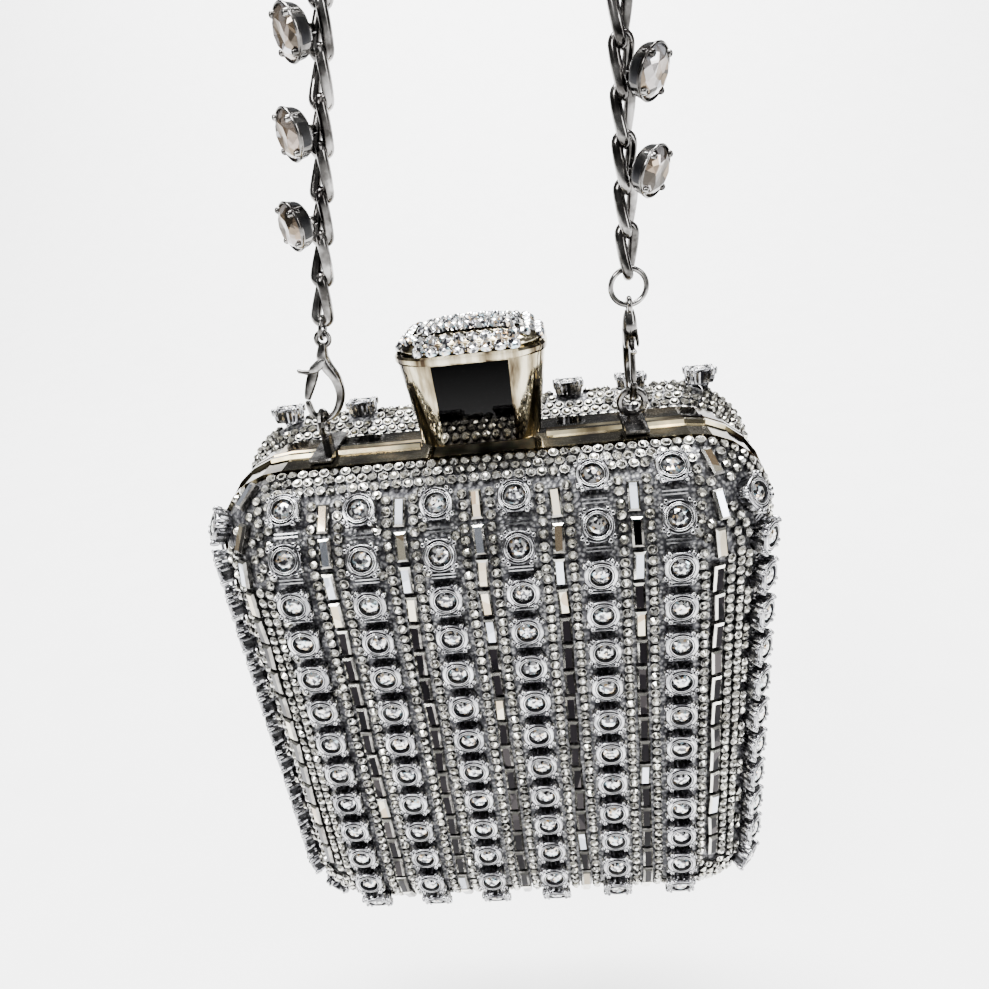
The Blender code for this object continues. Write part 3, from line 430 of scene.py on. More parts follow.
def mesh_cloth(name):
    """The dark backing that the stones are set on: a fine knitted metal mesh."""
    made, tree, shader = new_material(name)
    cells = small_cells(tree, 0.0009)
    tones = ramp(tree, cells.outputs["Distance"], ((0.1, (0.30, 0.30, 0.30)), (0.6, (0.045, 0.045, 0.05))))
    tree.links.new(tones, shader.inputs["Base Color"])
    shader.inputs["Metallic"].default_value = 0.7
    shader.inputs["Roughness"].default_value = 0.36
    bump(tree, shader, cells.outputs["Distance"], 0.0002)
    return made


def matt(name, scale, detail, stops, roughness):
    """A dull surface whose tone follows a fine noise, which is given back for more use."""
    made, tree, shader = new_material(name)
    grain = surface_noise(tree, scale, detail)
    tree.links.new(ramp(tree, grain, stops), shader.inputs["Base Color"])
    shader.inputs["Roughness"].default_value = roughness
    return made, tree, shader, grain


def cloth(name):
    tones = ((0.3, (0.02, 0.02, 0.025)), (0.7, (0.07, 0.07, 0.08)))
    made, tree, shader, weave = matt(name, 900, 6, tones, 0.85)
    shader.inputs["Sheen Weight"].default_value = 0.5
    bump(tree, shader, weave, 0.0002)
    return made


SILVER = metal("plated_silver", ((0.23, 0.23, 0.24), (0.70, 0.70, 0.71)), (0.08, 0.2), 420)
# Cup walls: a darker copy of the cup silver, painted as shade on the sides.
CUP_WALL_PAINTED_SHADE = metal("cup_wall_painted_shade", ((0.06, 0.06, 0.065), (0.46, 0.46, 0.48)), (0.10, 0.22), 500)
SMALL_CUP = metal("small_cup", ((0.05, 0.05, 0.048), (0.34, 0.33, 0.31)), (0.15, 0.3), 700)
# Rail gold: its noise runs from near black to pale gold as painted reflection patches.
RAIL_GOLD_PAINTED_REFLECTION = metal(
    "pale_gold_painted_reflection", ((0.018, 0.012, 0.007), (0.12, 0.10, 0.058), (0.27, 0.24, 0.16), (0.62, 0.50, 0.29)),
    (0.05, 0.16), 48, 0.00001,
)
# Back rail: a darker copy of the rail gold, painted as a dark reflection.
BACK_RAIL_GOLD_PAINTED_DARK = metal(
    "back_rail_painted_dark_gold", ((0.010, 0.008, 0.006), (0.035, 0.03, 0.021), (0.10, 0.088, 0.06), (0.30, 0.24, 0.145)),
    (0.05, 0.16), 55, 0.00001,
)
# Knob gold: its tones are drawn out upright into streaks of painted reflection.
KNOB_GOLD_PAINTED_STREAKS = metal(
    "knob_gold_painted_reflection_streaks", ((0.03, 0.02, 0.012), (0.24, 0.20, 0.125), (0.62, 0.56, 0.41)),
    (0.05, 0.12), 330, 0.00001, 0.12,
)
# The knob's flat faces: a painted dark reflection, with a painted reflection of the stones at the foot.
KNOB_PAINTED_REFLECTION = painted_reflection_face("knob_painted_reflection", KNOB_Z + DROP.z, KNOB_Z + DROP.z + KNOB_HEIGHT)
NICKEL = metal("dark_nickel", ((0.035, 0.033, 0.031), (0.12, 0.115, 0.11), (0.34, 0.33, 0.32)), (0.10, 0.22))
STEEL = metal("satin_steel", ((0.40, 0.40, 0.41), (0.58, 0.58, 0.58)), (0.25, 0.4))
# Painted shade: near-black metal for windows, slots, dark bands and claw crowns.
PAINTED_SHADE = metal("painted_shade_dark", ((0.010, 0.010, 0.012), (0.03, 0.03, 0.03)), (0.35, 0.6))
CUP_BAR = metal("cup_bar", ((0.14, 0.14, 0.15), (0.50, 0.50, 0.51)), (0.15, 0.3), 400)
BACKING = mesh_cloth("stone_backing")
LINING = cloth("lining_cloth")
PALE_FLOOR = matt("pale_floor", 30, 4, ((0.2, (0.90, 0.90, 0.90)), (0.8, (0.94, 0.94, 0.94))), 0.9)[0]
# Crystal tints, from near black to white with amber and blue, are painted glints and dark reflections.
CLEAR_PAINTED_SPARKLE = stone("clear_crystal_painted_sparkle", (
    (0.0, (0.012, 0.012, 0.014)), (0.34, (0.07, 0.07, 0.08)), (0.40, (0.42, 0.43, 0.45)),
    (0.57, (0.90, 0.90, 0.92)), (0.82, (0.82, 0.81, 0.76)), (0.90, (0.80, 0.55, 0.30)),
    (0.96, (0.50, 0.68, 0.76)),
), 0.0006, 0.85, 0.06)
SMALL_PAINTED_SPARKLE = stone("small_crystal_painted_sparkle", (
    (0.0, (0.02, 0.02, 0.02)), (0.24, (0.09, 0.085, 0.075)), (0.32, (0.37, 0.355, 0.315)),
    (0.52, (0.80, 0.80, 0.775)), (0.88, (0.72, 0.69, 0.57)),
), 0.0007, 0.75, 0.06)
# Back half's small stones: a darker copy of the small crystal, painted as shade.
SMALL_BACK_PAINTED_SHADE = stone("small_stone_painted_shade", (
    (0.0, (0.015, 0.015, 0.015)), (0.26, (0.06, 0.058, 0.05)), (0.34, (0.20, 0.19, 0.165)),
    (0.54, (0.46, 0.455, 0.42)), (0.88, (0.40, 0.38, 0.31)),
), 0.0007, 0.8, 0.08, 0.3)
# Baguette tables: painted reflections, dark here and bright or warm below.
TABLE_PAINTED_DARK_REFLECTION = stone("baguette_painted_dark_reflection", (
    (0.0, (0.0015, 0.0013, 0.0018)), (0.8, (0.006, 0.005, 0.006)), (0.98, (0.05, 0.045, 0.045)),
), 0.006, 1.0, 0.05, 0.02)
# Strap stones: cells painted as glints and dark reflections in grey and amber.
STRAP_PAINTED_SPARKLE = stone("strap_crystal_painted_sparkle", (
    (0.0, (0.012, 0.010, 0.008)), (0.30, (0.06, 0.045, 0.03)), (0.48, (0.24, 0.18, 0.13)),
    (0.66, (0.62, 0.62, 0.66)), (0.84, (0.16, 0.12, 0.08)),
), 0.0024, 0.75, 0.05, 0.25)
TABLE_PAINTED_BRIGHT_REFLECTION = stone(
    "baguette_painted_bright_reflection", ((0.0, (0.30, 0.32, 0.36)), (0.6, (0.66, 0.70, 0.78))), 0.006, 0.9, 0.06,
)
TABLE_PAINTED_WARM_REFLECTION = stone("baguette_painted_warm_reflection", ((0.0, (0.34, 0.24, 0.14)), (0.6, (0.72, 0.66, 0.50))), 0.006, 0.9, 0.08)
# Baguette bevels: lit and shaded copies of one bevel, painted light and painted shade.
BEVEL_PAINTED_LIGHT = metal("baguette_painted_light_bevel", ((0.50, 0.50, 0.46), (0.88, 0.86, 0.78)), (0.08, 0.2))
BEVEL_PAINTED_SHADE = metal("baguette_painted_shade_bevel", ((0.14, 0.13, 0.12), (0.36, 0.35, 0.32)), (0.08, 0.2))


def added(name, data):
    """A new object in the scene."""
    made = bpy.data.objects.new(name, data)
    bpy.context.scene.collection.objects.link(made)
    return made


def stands_for(piece, slot, *nodes):
    """Hides the CAD nodes that a piece replaces; the piece and its slot are not used."""
    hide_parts(*nodes)


def make_piece(name, verts, faces, materials, body, slots=None, smooth=True):
    """Adds one mesh to a body; slots gives each face's material, smooth is one value or one a face."""
    mesh = bpy.data.meshes.new(name)
    mesh.from_pydata([tuple(v) for v in verts], [], faces)
    for item in materials:
        mesh.materials.append(item)
    if slots is not None:
        mesh.polygons.foreach_set("material_index", np.asarray(slots, dtype=np.int32))
    shading = smooth if isinstance(smooth, list) else [smooth] * len(faces)
    mesh.polygons.foreach_set("use_smooth", np.asarray(shading, dtype=bool))
    mesh.update()
    return add_mesh(name, mesh, body)


def add_mesh(name, mesh, body):
    made = added(name, mesh)
    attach(made, body)
    return made


def stamp(name, template, places, materials, body, skins=None):
    """Copies one small template to many places; skins shifts the last face's material of each copy."""
    verts, faces, slots, smooth = template
    base = np.array([tuple(v) for v in verts])
    points = []
    all_faces = []
    all_slots = []
    for number, (origin, across, along, normal) in enumerate(places):
        turn = np.array([tuple(across), tuple(along), tuple(normal)])
        points.append(base @ turn + np.array(tuple(origin + DROP)))
        start = number * len(verts)
        all_faces += [tuple(start + i for i in face) for face in faces]
        all_slots += slots[:-1] + [slots[-1] + (skins[number] if skins else 0)]
    everything = np.concatenate(points).tolist()
    return make_piece(name, everything, all_faces, materials, body, all_slots, smooth * len(places))


def bridge(count, rings):
    """Quads between closed rings of equal length laid one after another."""
    faces = []
    for low in range(0, (rings - 1) * count, count):
        for i in range(count):
            j = (i + 1) % count
            faces.append((low + i, low + j, low + count + j, low + count + i))
    return faces


def lofted(rings, foot=True, head=True):
    """A skin over rings of points, with flat caps at its foot and head."""
    count = len(rings[0])
    verts = [point for ring in rings for point in ring]
    faces = bridge(count, len(rings))
    if foot:
        faces.append(tuple(reversed(range(count))))
    if head:
        faces.append(tuple(range(len(verts) - count, len(verts))))
    return verts, faces


def joined(shapes):
    """Several shapes as one."""
    verts = []
    faces = []
    for own_verts, own_faces in shapes:
        start = len(verts)
        verts += own_verts
        faces += [tuple(start + i for i in face) for face in own_faces]
    return verts, faces


def circle(count, radius, height, shift=0, centre=Vector()):
    """Points on a level circle; shift turns it by a share of a step."""
    turns = [2 * math.pi * (i + shift) / count for i in range(count)]
    return [centre + Vector((radius * math.cos(turn), radius * math.sin(turn), height)) for turn in turns]


def rectangle(half_x, half_y, height, middle=0):
    """Corners of a level rectangle."""
    corners = ((-1, -1), (1, -1), (1, 1), (-1, 1))
    return [Vector((x * half_x, middle + y * half_y, height)) for x, y in corners]


def smoothed(node, skin, body, slot):
    """A copy of a CAD node that is shaded round, and stands for it."""
    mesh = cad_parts[node].data.copy()
    mesh.materials.clear()
    mesh.materials.append(skin)
    mesh.polygons.foreach_set("use_smooth", [True] * len(mesh.polygons))
    mesh.set_sharp_from_angle(angle=math.radians(SMOOTH_LIMIT))
    stands_for(add_mesh(f"{node}_skin", mesh, body), slot, node)


def square_reach(angle, half, softness):
    """Distance from the middle to the edge of a square with rounded corners."""
    return half * (abs(math.cos(angle)) ** softness + abs(math.sin(angle)) ** softness) ** (-1 / softness)


def off_side(angle):
    """Degrees from the middle of the nearest side of a cup."""
    return abs((math.degrees(angle) + 45) % 90 - 45)


def slotted(angle):
    """Whether a direction is in one of the two slots of a cup's outer ring."""
    return abs(math.degrees(angle) % 180 - 90) < SLOT_HALF_ANGLE


def band_skin(band, angle):
    """Material of one facet of a cup: 0 is bright, 1 is painted shade and 2 is the wall's darker silver,
    painted shade too.
    """
    window = band == "window" and off_side(angle) < WINDOW_HALF_ANGLE
    if band == "dark" or window or band == "slot" and slotted(angle):
        return 1
    return 2 if band in ("window", "wall") else 0


def cup_template():
    """A stone cup: shade-painted fluted walls with a painted shade window in each side, two rings and a pair
    of claws a corner.
    """
    rings = []
    slots = []
    for half, softness, height, form, band in CUP_ROWS:
        ring = []
        for i in range(CUP_SIDES):
            angle = 2 * math.pi * i / CUP_SIDES
            reach = square_reach(angle, half, softness)
            sunk = 0
            if form == "fluted" and off_side(angle) > WINDOW_HALF_ANGLE:
                reach *= 1 + FLUTE_SHARE * math.cos(FLUTE_COUNT * angle)
            if form == "slotted":
                sunk = SLOT_DEPTH if slotted(angle) else SLOT_EDGE
            ring.append(Vector((reach * math.cos(angle), reach * math.sin(angle), height - sunk)))
            if band:
                slots.append(band_skin(band, 2 * math.pi * (i + 0.5) / CUP_SIDES))
        rings.append(ring)
    shape = lofted(rings, foot=False, head=False)
    smooth = [i >= FLAT_BANDS * CUP_SIDES for i in range(len(slots))]
    directions = [corner + aside for corner in range(45, 360, 90) for aside in (-CLAW_ASIDE, CLAW_ASIDE)]
    return with_claws(shape, slots, smooth, directions, CUP_CLAW)


def with_claws(shape, slots, smooth, directions, sizes):
    """A setting's template, with a round claw that has a dot of painted shade on its crown in each direction.
    """
    distance, radius, foot, top = sizes
    shapes = [shape]
    for degrees in directions:
        angle = math.radians(degrees)
        centre = Vector((math.cos(angle), math.sin(angle), 0)) * distance
        rings = []
        for share, rise, _ in CLAW_STEPS:
            rings.append(circle(CLAW_SIDES, radius * share, foot + (top - foot) * rise, centre=centre))
        shapes.append(lofted(rings, foot=False))
        slots = slots + [slot for _, _, slot in CLAW_STEPS[1:] for _ in range(CLAW_SIDES)] + [1]
    return *joined(shapes), slots, smooth + [True] * (len(slots) - len(smooth))


def brilliant_template(girdle, table, base, waist, top):
    """The crown of a round cut stone: girdle, star ring and table."""
    count = GEM_SIDES * 2
    verts = circle(count, girdle, base) + circle(GEM_SIDES, (girdle + table) / 2, waist, 0.5)
    verts += circle(GEM_SIDES, table, top) + [Vector((0, 0, (top + waist) / 2))]
    faces = []
    for i in range(GEM_SIDES):
        a, b, c = 2 * i, 2 * i + 1, (2 * i + 2) % count
        star = count + i
        inner = count + GEM_SIDES + i
        inner_next = count + GEM_SIDES + (i + 1) % GEM_SIDES
        faces += [
            (a, b, star), (b, c, star), (a, star, inner), (star, c, inner_next),
            (inner, star, inner_next), (inner, inner_next, len(verts) - 1),
        ]
    return verts, faces, [0] * len(faces), [False] * len(faces)


def small_template():
    """A small round stone in a thin dark cup with a bead at its edge."""
    rings = [circle(SMALL_SIDES, SMALL_RADIUS * share, height) for share, height in SMALL_STEPS]
    verts, faces = lofted(rings, foot=False)
    cup = SMALL_SIDES * SMALL_CUP_BANDS
    return verts, faces, [1] * cup + [0] * (len(faces) - cup), [False] * len(faces)


def baguette_template():
    """A long step-cut stone in a thin frame: bevels painted lit and shaded, and a table painted as a
    reflection.
    """
    rings = []
    for share_x, share_y, height in BAGUETTE_STEPS:
        rings.append(rectangle(BAGUETTE_WIDTH * share_x, BAGUETTE_LENGTH * share_y, height))
    verts, faces = lofted(rings, foot=False)
    return verts, faces, BAGUETTE_SLOTS, [False] * len(faces)


def setting_template():
    """A strap stone's barrel: waisted foot, wall with windows painted as shade, rim and four prongs."""
    rings = [circle(SETTING_SIDES, radius, height) for radius, height, _ in SETTING_STEPS]
    slots = []
    for _, _, window in SETTING_STEPS[1:]:
        for i in range(SETTING_SIDES):
            off_prong = abs(math.degrees(2 * math.pi * (i + 0.5) / SETTING_SIDES) % 90 - 45)
            slots.append(1 if window and off_prong > PRONG_HALF_ANGLE else 0)
    slots.append(1)
    return with_claws(lofted(rings, head=False), slots, [], range(45, 360, 90), PRONG)


def outline(half_width, half_height, corner, steps=CORNER_STEPS):
    """Points and outward directions round a rounded rectangle in the XZ plane."""
    spots = []
    for quarter in range(4):
        sign_x = 1 if quarter in (0, 3) else -1
        sign_z = 1 if quarter in (0, 1) else -1
        centre = Vector((sign_x * (half_width - corner), 0, sign_z * (half_height - corner)))
        for i in range(steps + 1):
            angle = math.radians(90) * (quarter + i / steps)
            out = Vector((math.cos(angle), 0, math.sin(angle)))
            spots.append((centre + out * corner, out))
    return spots


def outline_walk(half_width, half_height, corner, pitch):
    """Evenly spaced points and outward directions round a rounded rectangle."""
    spots = outline(half_width, half_height, corner)
    lengths = [0.0]
    for (point, _), (following, _) in zip(spots, spots[1:] + spots[:1]):
        lengths.append(lengths[-1] + (following - point).length)
    count = round(lengths[-1] / pitch)
    walk = []
    segment = 0
    for number in range(count):
        at = lengths[-1] * number / count
        while lengths[segment + 1] <= at:
            segment += 1
        share = (at - lengths[segment]) / (lengths[segment + 1] - lengths[segment])
        point, out = spots[segment]
        next_point, next_out = spots[(segment + 1) % len(spots)]
        walk.append((point.lerp(next_point, share), out.lerp(next_out, share).normalized()))
    return walk


class Profile:
    """The outer skin of one half, from its flat face round the shoulder to the rim."""

    def __init__(self, half_width, half_height, corner, radius, growth, last_angle):
        self.half_width = half_width
        self.half_height = half_height
        self.corner = corner
        self.radius = radius
        self.growth = growth
        self.last_angle = last_angle
        self.flare = last_angle - math.radians(90)

    def at(self, angle, inset=0):
        """Reach past the face, corner radius and depth at one shoulder angle, set in from the skin."""
        radius = self.radius - inset
        reach = radius * math.sin(angle)
        corner = self.corner + (self.growth - inset) * math.sin(angle)
        return reach, corner, FACE_DEPTH - inset - radius * (1 - math.cos(angle))

    def lowest(self, inset=0):
        return -self.half_height - self.rim(inset)[0]

    def rim(self, inset=0):
        """Reach, corner radius and depth where the skin meets the rail."""
        reach, corner, depth = self.at(self.last_angle, inset)
        if self.flare <= 0:
            return reach, corner, depth
        drop = (depth - RIM_DEPTH) * math.tan(self.flare)
        return reach - drop, corner - drop, RIM_DEPTH

    def rings(self, inset):
        """Outlines from the face to the rim; none goes below the foot of the rim."""
        spots = [self.at(self.last_angle * i / SHOULDER_STEPS, inset) for i in range(SHOULDER_STEPS + 1)]
        if self.flare > 0:
            spots.append(self.rim(inset))
        made = []
        for reach, corner, depth in spots:
            ring = outline(self.half_width + reach, self.half_height + reach, corner)
            made.append([Vector((point.x, -depth, max(point.z, self.lowest(inset)))) for point, _ in ring])
        return made

    def along_skin(self, travel):
        """Reach, corner, depth and shoulder angle at one distance from the rim over the skin."""
        flat = 0
        if self.flare > 0:
            turn_reach, turn_corner, turn_depth = self.at(self.last_angle)
            reach, corner, depth = self.rim()
            flat = math.hypot(turn_reach - reach, turn_depth - depth)
            if travel < flat:
                share = travel / flat
                return (
                    reach + (turn_reach - reach) * share, corner + (turn_corner - corner) * share,
                    depth + (turn_depth - depth) * share, self.last_angle,
                )
        angle = self.last_angle - (travel - flat) / self.radius
        if angle > 0:
            return (*self.at(angle), angle)
        past = -angle * self.radius
        return -past, max(self.corner - past, SMALL_RADIUS), FACE_DEPTH, 0


FRONT = Profile(
    FACE_HALF_WIDTH, FACE_HALF_HEIGHT, FACE_CORNER, SHOULDER_RADIUS, CORNER_GROWTH, RIM_ANGLE,
)
BACK = Profile(
    RIM_HALF_WIDTH - BACK_REACH, RIM_HALF_HEIGHT - BACK_REACH, RIM_CORNER - BACK_REACH,
    BACK_SHOULDER_RADIUS, BACK_SHOULDER_RADIUS, BACK_ANGLE,
)


def skin_normal(out, angle):
    """The way the skin faces at one shoulder angle, where its outline faces out."""
    return out * math.sin(angle) - Vector((0, math.cos(angle), 0))


def face_station(profile, column_x, run):
    """A spot on the shell over one face column, by distance run up from its middle."""
    past = max(abs(run) - profile.half_height, 0)
    angle = past / (profile.radius + RUN_LIFT)
    reach, _, depth = profile.at(angle)
    side = math.copysign(1, run)
    height = run if past == 0 else side * (profile.half_height + reach)
    normal = Vector((0, -math.cos(angle), side * math.sin(angle)))
    across = Vector((1, 0, 0))
    return Vector((column_x, -depth, height)), across, normal.cross(across), normal


def side_station(profile, side, angle, run):
    """A spot on the side shoulder at one shoulder angle, following the outline round its corners."""
    reach, corner, depth = profile.at(angle)
    straight = profile.half_height + reach - corner
    past = max(abs(run) - straight, 0)
    bend = past / corner
    upper = math.copysign(1, run)
    height = run if past == 0 else upper * (straight + corner * math.sin(bend))
    width = profile.half_width + reach - corner * (1 - math.cos(bend))
    out = Vector((side * math.cos(bend), 0, upper * math.sin(bend)))
    normal = skin_normal(out, angle)
    along = Vector((-side * upper * math.sin(bend), 0, math.cos(bend)))
    return Vector((side * width, -depth, height)), along.cross(normal), along, normal


def line_station(profile, x, run):
    """A spot at one distance across the face, round the side shoulder where it lies past the flat."""
    past = abs(x) - profile.half_width
    if past <= 0:
        return face_station(profile, x, run)
    return side_station(profile, math.copysign(1, x), past / profile.radius, run)


def corner_station(profile, x, height):
    """A spot on a rounded upper corner, found by closing in on its shoulder angle."""
    low, high = 0, profile.last_angle
    for _ in range(CORNER_TRIES):
        angle = (low + high) / 2
        reach, corner, depth = profile.at(angle)
        past_x = max(abs(x) - (profile.half_width + reach - corner), 0)
        past_z = max(height - (profile.half_height + reach - corner), 0)
        if math.hypot(past_x, past_z) > corner:
            low = angle
        else:
            high = angle
    out = Vector((math.copysign(past_x, x), 0, past_z)).normalized()
    normal = skin_normal(out, angle)
    along = (Vector((0, 0, 1)) - normal * normal.z).normalized()
    return Vector((x, -depth, height)), along.cross(normal), along, normal


def raised(place, lift):
    origin, across, along, normal = place
    return origin + normal * lift, across, along, normal


def spun(place, angle):
    """A place turned about its own upright."""
    origin, across, along, normal = place
    turned_across = across * math.cos(angle) + along * math.sin(angle)
    return origin, turned_across, along * math.cos(angle) - across * math.sin(angle), normal


def tipped(place, most):
    """A place leaning a random way by up to so many degrees."""
    origin, across, along, normal = place
    lean = math.tan(math.radians(rng.uniform(0, most)))
    way = rng.uniform(0, 2 * math.pi)
    new_normal = (normal + (across * math.cos(way) + along * math.sin(way)) * lean).normalized()
    new_across = (across - new_normal * across.dot(new_normal)).normalized()
    return origin, new_across, new_normal.cross(new_across), new_normal


def half_turn(place):
    turn = Matrix.Rotation(math.pi, 3, "Z")
    return tuple(turn @ vector for vector in place)


def for_half(places, back):
    return [half_turn(place) for place in places] if back else places


def front_layout():
    """Columns of cups, each a station, a top run and a count, and the middles of the baguette lines."""
    far = math.radians(SIDE_ANGLE_FAR)
    near = math.radians(SIDE_ANGLE_NEAR)
    columns = [(lambda run: side_station(FRONT, -1, far, run), SIDE_TOP_RUN, ROW_COUNT)]
    for number, offset in enumerate(COLUMN_OFFSETS, start=1):
        x = (number - (len(COLUMN_OFFSETS) + 1) / 2) * COLUMN_PITCH + COLUMN_SHIFT
        columns.append((lambda run, x=x: face_station(FRONT, x, run), TOP_ROW_RUN + offset, ROW_COUNT))
    columns.append((lambda run: side_station(FRONT, 1, near, run), SIDE_TOP_RUN, SHORT_ROW_COUNT))
    half = len(COLUMN_OFFSETS) // 2
    middles = [number * COLUMN_PITCH + COLUMN_SHIFT for number in range(-half, half + 1)]
    middles[0] -= TWIN_LINE_STEP / 2
    ends = [LINE_TOP_RUN if abs(x) < FRONT.half_width else SIDE_LINE_RUN for x in middles]
    return columns, list(zip(middles, ends))


def back_layout():
    columns = []
    for x in BACK_COLUMNS:
        columns.append((lambda run, x=x: face_station(BACK, x, run), BACK_TOP_ROW_RUN, BACK_ROW_COUNT))
    middles = [(left + right) / 2 for left, right in zip(BACK_COLUMNS, BACK_COLUMNS[1:])]
    return columns, [(x, BACK_LINE_TOP_RUN) for x in middles]


def skin_rows(profile):
    """Places for small stones in rows round the skin, from the rim in to the face."""
    skin_length = profile.radius * profile.last_angle
    if profile.flare > 0:
        skin_length += BACK_FLARE_LENGTH
    places = []
    travel = FIELD_START
    while travel < skin_length + FACE_BORDER:
        reach, corner, depth, angle = profile.along_skin(travel)
        half_width = profile.half_width + reach
        half_height = profile.half_height + reach
        for point, out in outline_walk(half_width, half_height, corner, FIELD_PITCH):
            if point.z < profile.lowest() + SMALL_RADIUS / 2 and profile.flare > 0:
                continue
            normal = skin_normal(out, angle)
            along = Vector((0, 1, 0)).cross(out)
            places.append((Vector((point.x, -depth, point.z)), along.cross(normal), along, normal))
        travel += FIELD_PITCH
    if profile.flare > 0:
        places.extend(foot_rows(profile))
    return places


def foot_rows(profile):
    """Rows on the flat underside of the back half."""
    places = []
    down = Vector((0, 0, -1))
    across = Vector((1, 0, 0))
    depth = RIM_DEPTH + FIELD_START
    while depth < FACE_DEPTH - FIELD_START:
        half = profile.half_width - FIELD_PITCH
        count = round(2 * half / FIELD_PITCH)
        for number in range(count + 1):
            x = half * (2 * number / count - 1)
            places.append((Vector((x, -depth, profile.lowest())), across, down.cross(across), down))
        depth += FIELD_PITCH
    return places


def free_places(candidates, blockers, spacing):
    """Candidates that keep clear of each blocker, a point and a distance, and of one another."""
    spots = np.array([tuple(point) for point, _ in blockers]).reshape(-1, 3)
    reaches = np.array([distance for _, distance in blockers])
    kept = []
    kept_points = np.empty((0, 3))
    for place in candidates:
        at = np.array(tuple(place[0]))
        if np.any(np.linalg.norm(spots - at, axis=1) < reaches):
            continue
        if len(kept_points) and np.linalg.norm(kept_points - at, axis=1).min() < spacing:
            continue
        kept.append(place)
        kept_points = np.vstack((kept_points, at))
    return kept


def small_places(profile, columns, lines):
    """Small stones beside each baguette line, then rows over all of the skin that is left."""
    blockers = []
    for number, (station, top_run, count) in enumerate(columns):
        clearance = SIDE_CLEARANCE if profile is FRONT and number == 0 else CUP_CLEARANCE
        for row in range(count):
            blockers.append((station(top_run - row * ROW_PITCH)[0], clearance))
            if row:
                blockers.append((station(top_run - (row - 0.5) * ROW_PITCH)[0], LANE_CLEARANCE))
    beside = []
    for x, end_run in lines:
        steps = round(2 * end_run / BLOCK_STEP)
        for number in range(steps + 1):
            run = end_run * (1 - 2 * number / steps)
            blockers.append((line_station(profile, x, run)[0], BAGUETTE_CLEARANCE))
        for side in (-1, 1):
            count = round(2 * end_run / SMALL_PITCH)
            for number in range(count + 1):
                run = end_run * (1 - 2 * number / count)
                beside.append(line_station(profile, x + side * LINE_SPREAD, run))
    if profile is FRONT:
        for x, height in CORNER_STONES:
            point, _, along, _ = corner_station(profile, x, height)
            for shift in (-BLOCK_STEP, 0, BLOCK_STEP):
                blockers.append((point + along * shift, BAGUETTE_CLEARANCE))
    return free_places(beside + skin_rows(profile), blockers, SMALL_SPACING)


def long_places(profile, lines):
    """Baguettes down each line, with the painted reflection of each table: dark, bright or warm."""
    places = []
    kinds = []
    for x, end_run in lines:
        count = int(2 * end_run / BAGUETTE_PITCH)
        start = end_run - BAGUETTE_LENGTH / 2 + rng.uniform(-LINE_JITTER, LINE_JITTER)
        for number in range(count):
            run = start - number * BAGUETTE_PITCH
            place = line_station(profile, x + rng.uniform(-STONE_JITTER, STONE_JITTER), run)
            place = spun(raised(place, FIT_GAP), math.radians(rng.uniform(-BAGUETTE_SPIN, BAGUETTE_SPIN)))
            places.append(tipped(place, BAGUETTE_TIP))
            # Upper tables more often take a painted bright or warm reflection.
            chance = rng.random()
            bright, warm = TOP_REFLECTION_CHANCES if run > TOP_STONES_RUN else LOW_REFLECTION_CHANCES
            kinds.append(1 if chance < bright else 2 if chance < warm else 0)
    if profile is FRONT:
        # The corner baguettes take painted bright and warm reflections in turn.
        for number, (x, height) in enumerate(CORNER_STONES):
            places.append(raised(corner_station(profile, x, height), FIT_GAP))
            kinds.append(1 + number % 2)
    return places, kinds


def dress_shell(label, body, back, profile):
    """The skin behind the stones, with its inner side."""
    inset = BACK_INSET if back else 0
    verts, faces = lofted(profile.rings(inset) + profile.rings(inset + SKIN_WALL)[::-1])
    if back:
        verts = [Vector((-v.x, -v.y, v.z)) for v in verts]
    skin = make_piece(f"{label}_backing", [v + DROP for v in verts], faces, [BACKING], body)
    stands_for(skin, "shell", f"{label}_shell")


def dress_columns(label, body, back, columns):
    cup = cup_template()
    crystal = brilliant_template(*CUP_GEM)
    lift = FIT_GAP + STRIP_BASE - (BACK_INSET if back else 0)
    for number, (station, top_run, count) in enumerate(columns):
        places = for_half([raised(station(top_run - row * ROW_PITCH), lift) for row in range(count)], back)
        turned = [tipped(spun(place, rng.uniform(0, math.pi)), GEM_TIP) for place in places]
        cups = stamp(f"{label}_cups_{number}", cup, places, [SILVER, PAINTED_SHADE, CUP_WALL_PAINTED_SHADE], body)
        gems = stamp(f"{label}_gems_{number}", crystal, turned, [CLEAR_PAINTED_SPARKLE], body)
        for piece in (cups, gems):
            stands_for(piece, "setting", f"{label}_cup_column_{number}")


def bar_template():
    """Two thin bright bars that join one cup to the next."""
    bars = []
    for middle in (-BAR_APART, BAR_APART):
        rings = [rectangle(BAR_HALF_LENGTH, BAR_HALF_WIDTH, height, middle) for height in (0, BAR_RISE)]
        bars.append(lofted(rings, foot=False))
    verts, faces = joined(bars)
    return verts, faces, [0] * len(faces), [False] * len(faces)


def dress_bars(label, body, back, columns):
    lift = BAR_LIFT - (BACK_INSET if back else 0)
    places = []
    for station, top_run, count in columns:
        for row in range(1, count):
            places.append(raised(station(top_run - (row - 0.5) * ROW_PITCH), lift))
    bars = stamp(f"{label}_cup_bars", bar_template(), for_half(places, back), [CUP_BAR], body)
    stands_for(bars, "setting", *[f"{label}_cup_column_{number}" for number in range(len(columns))])


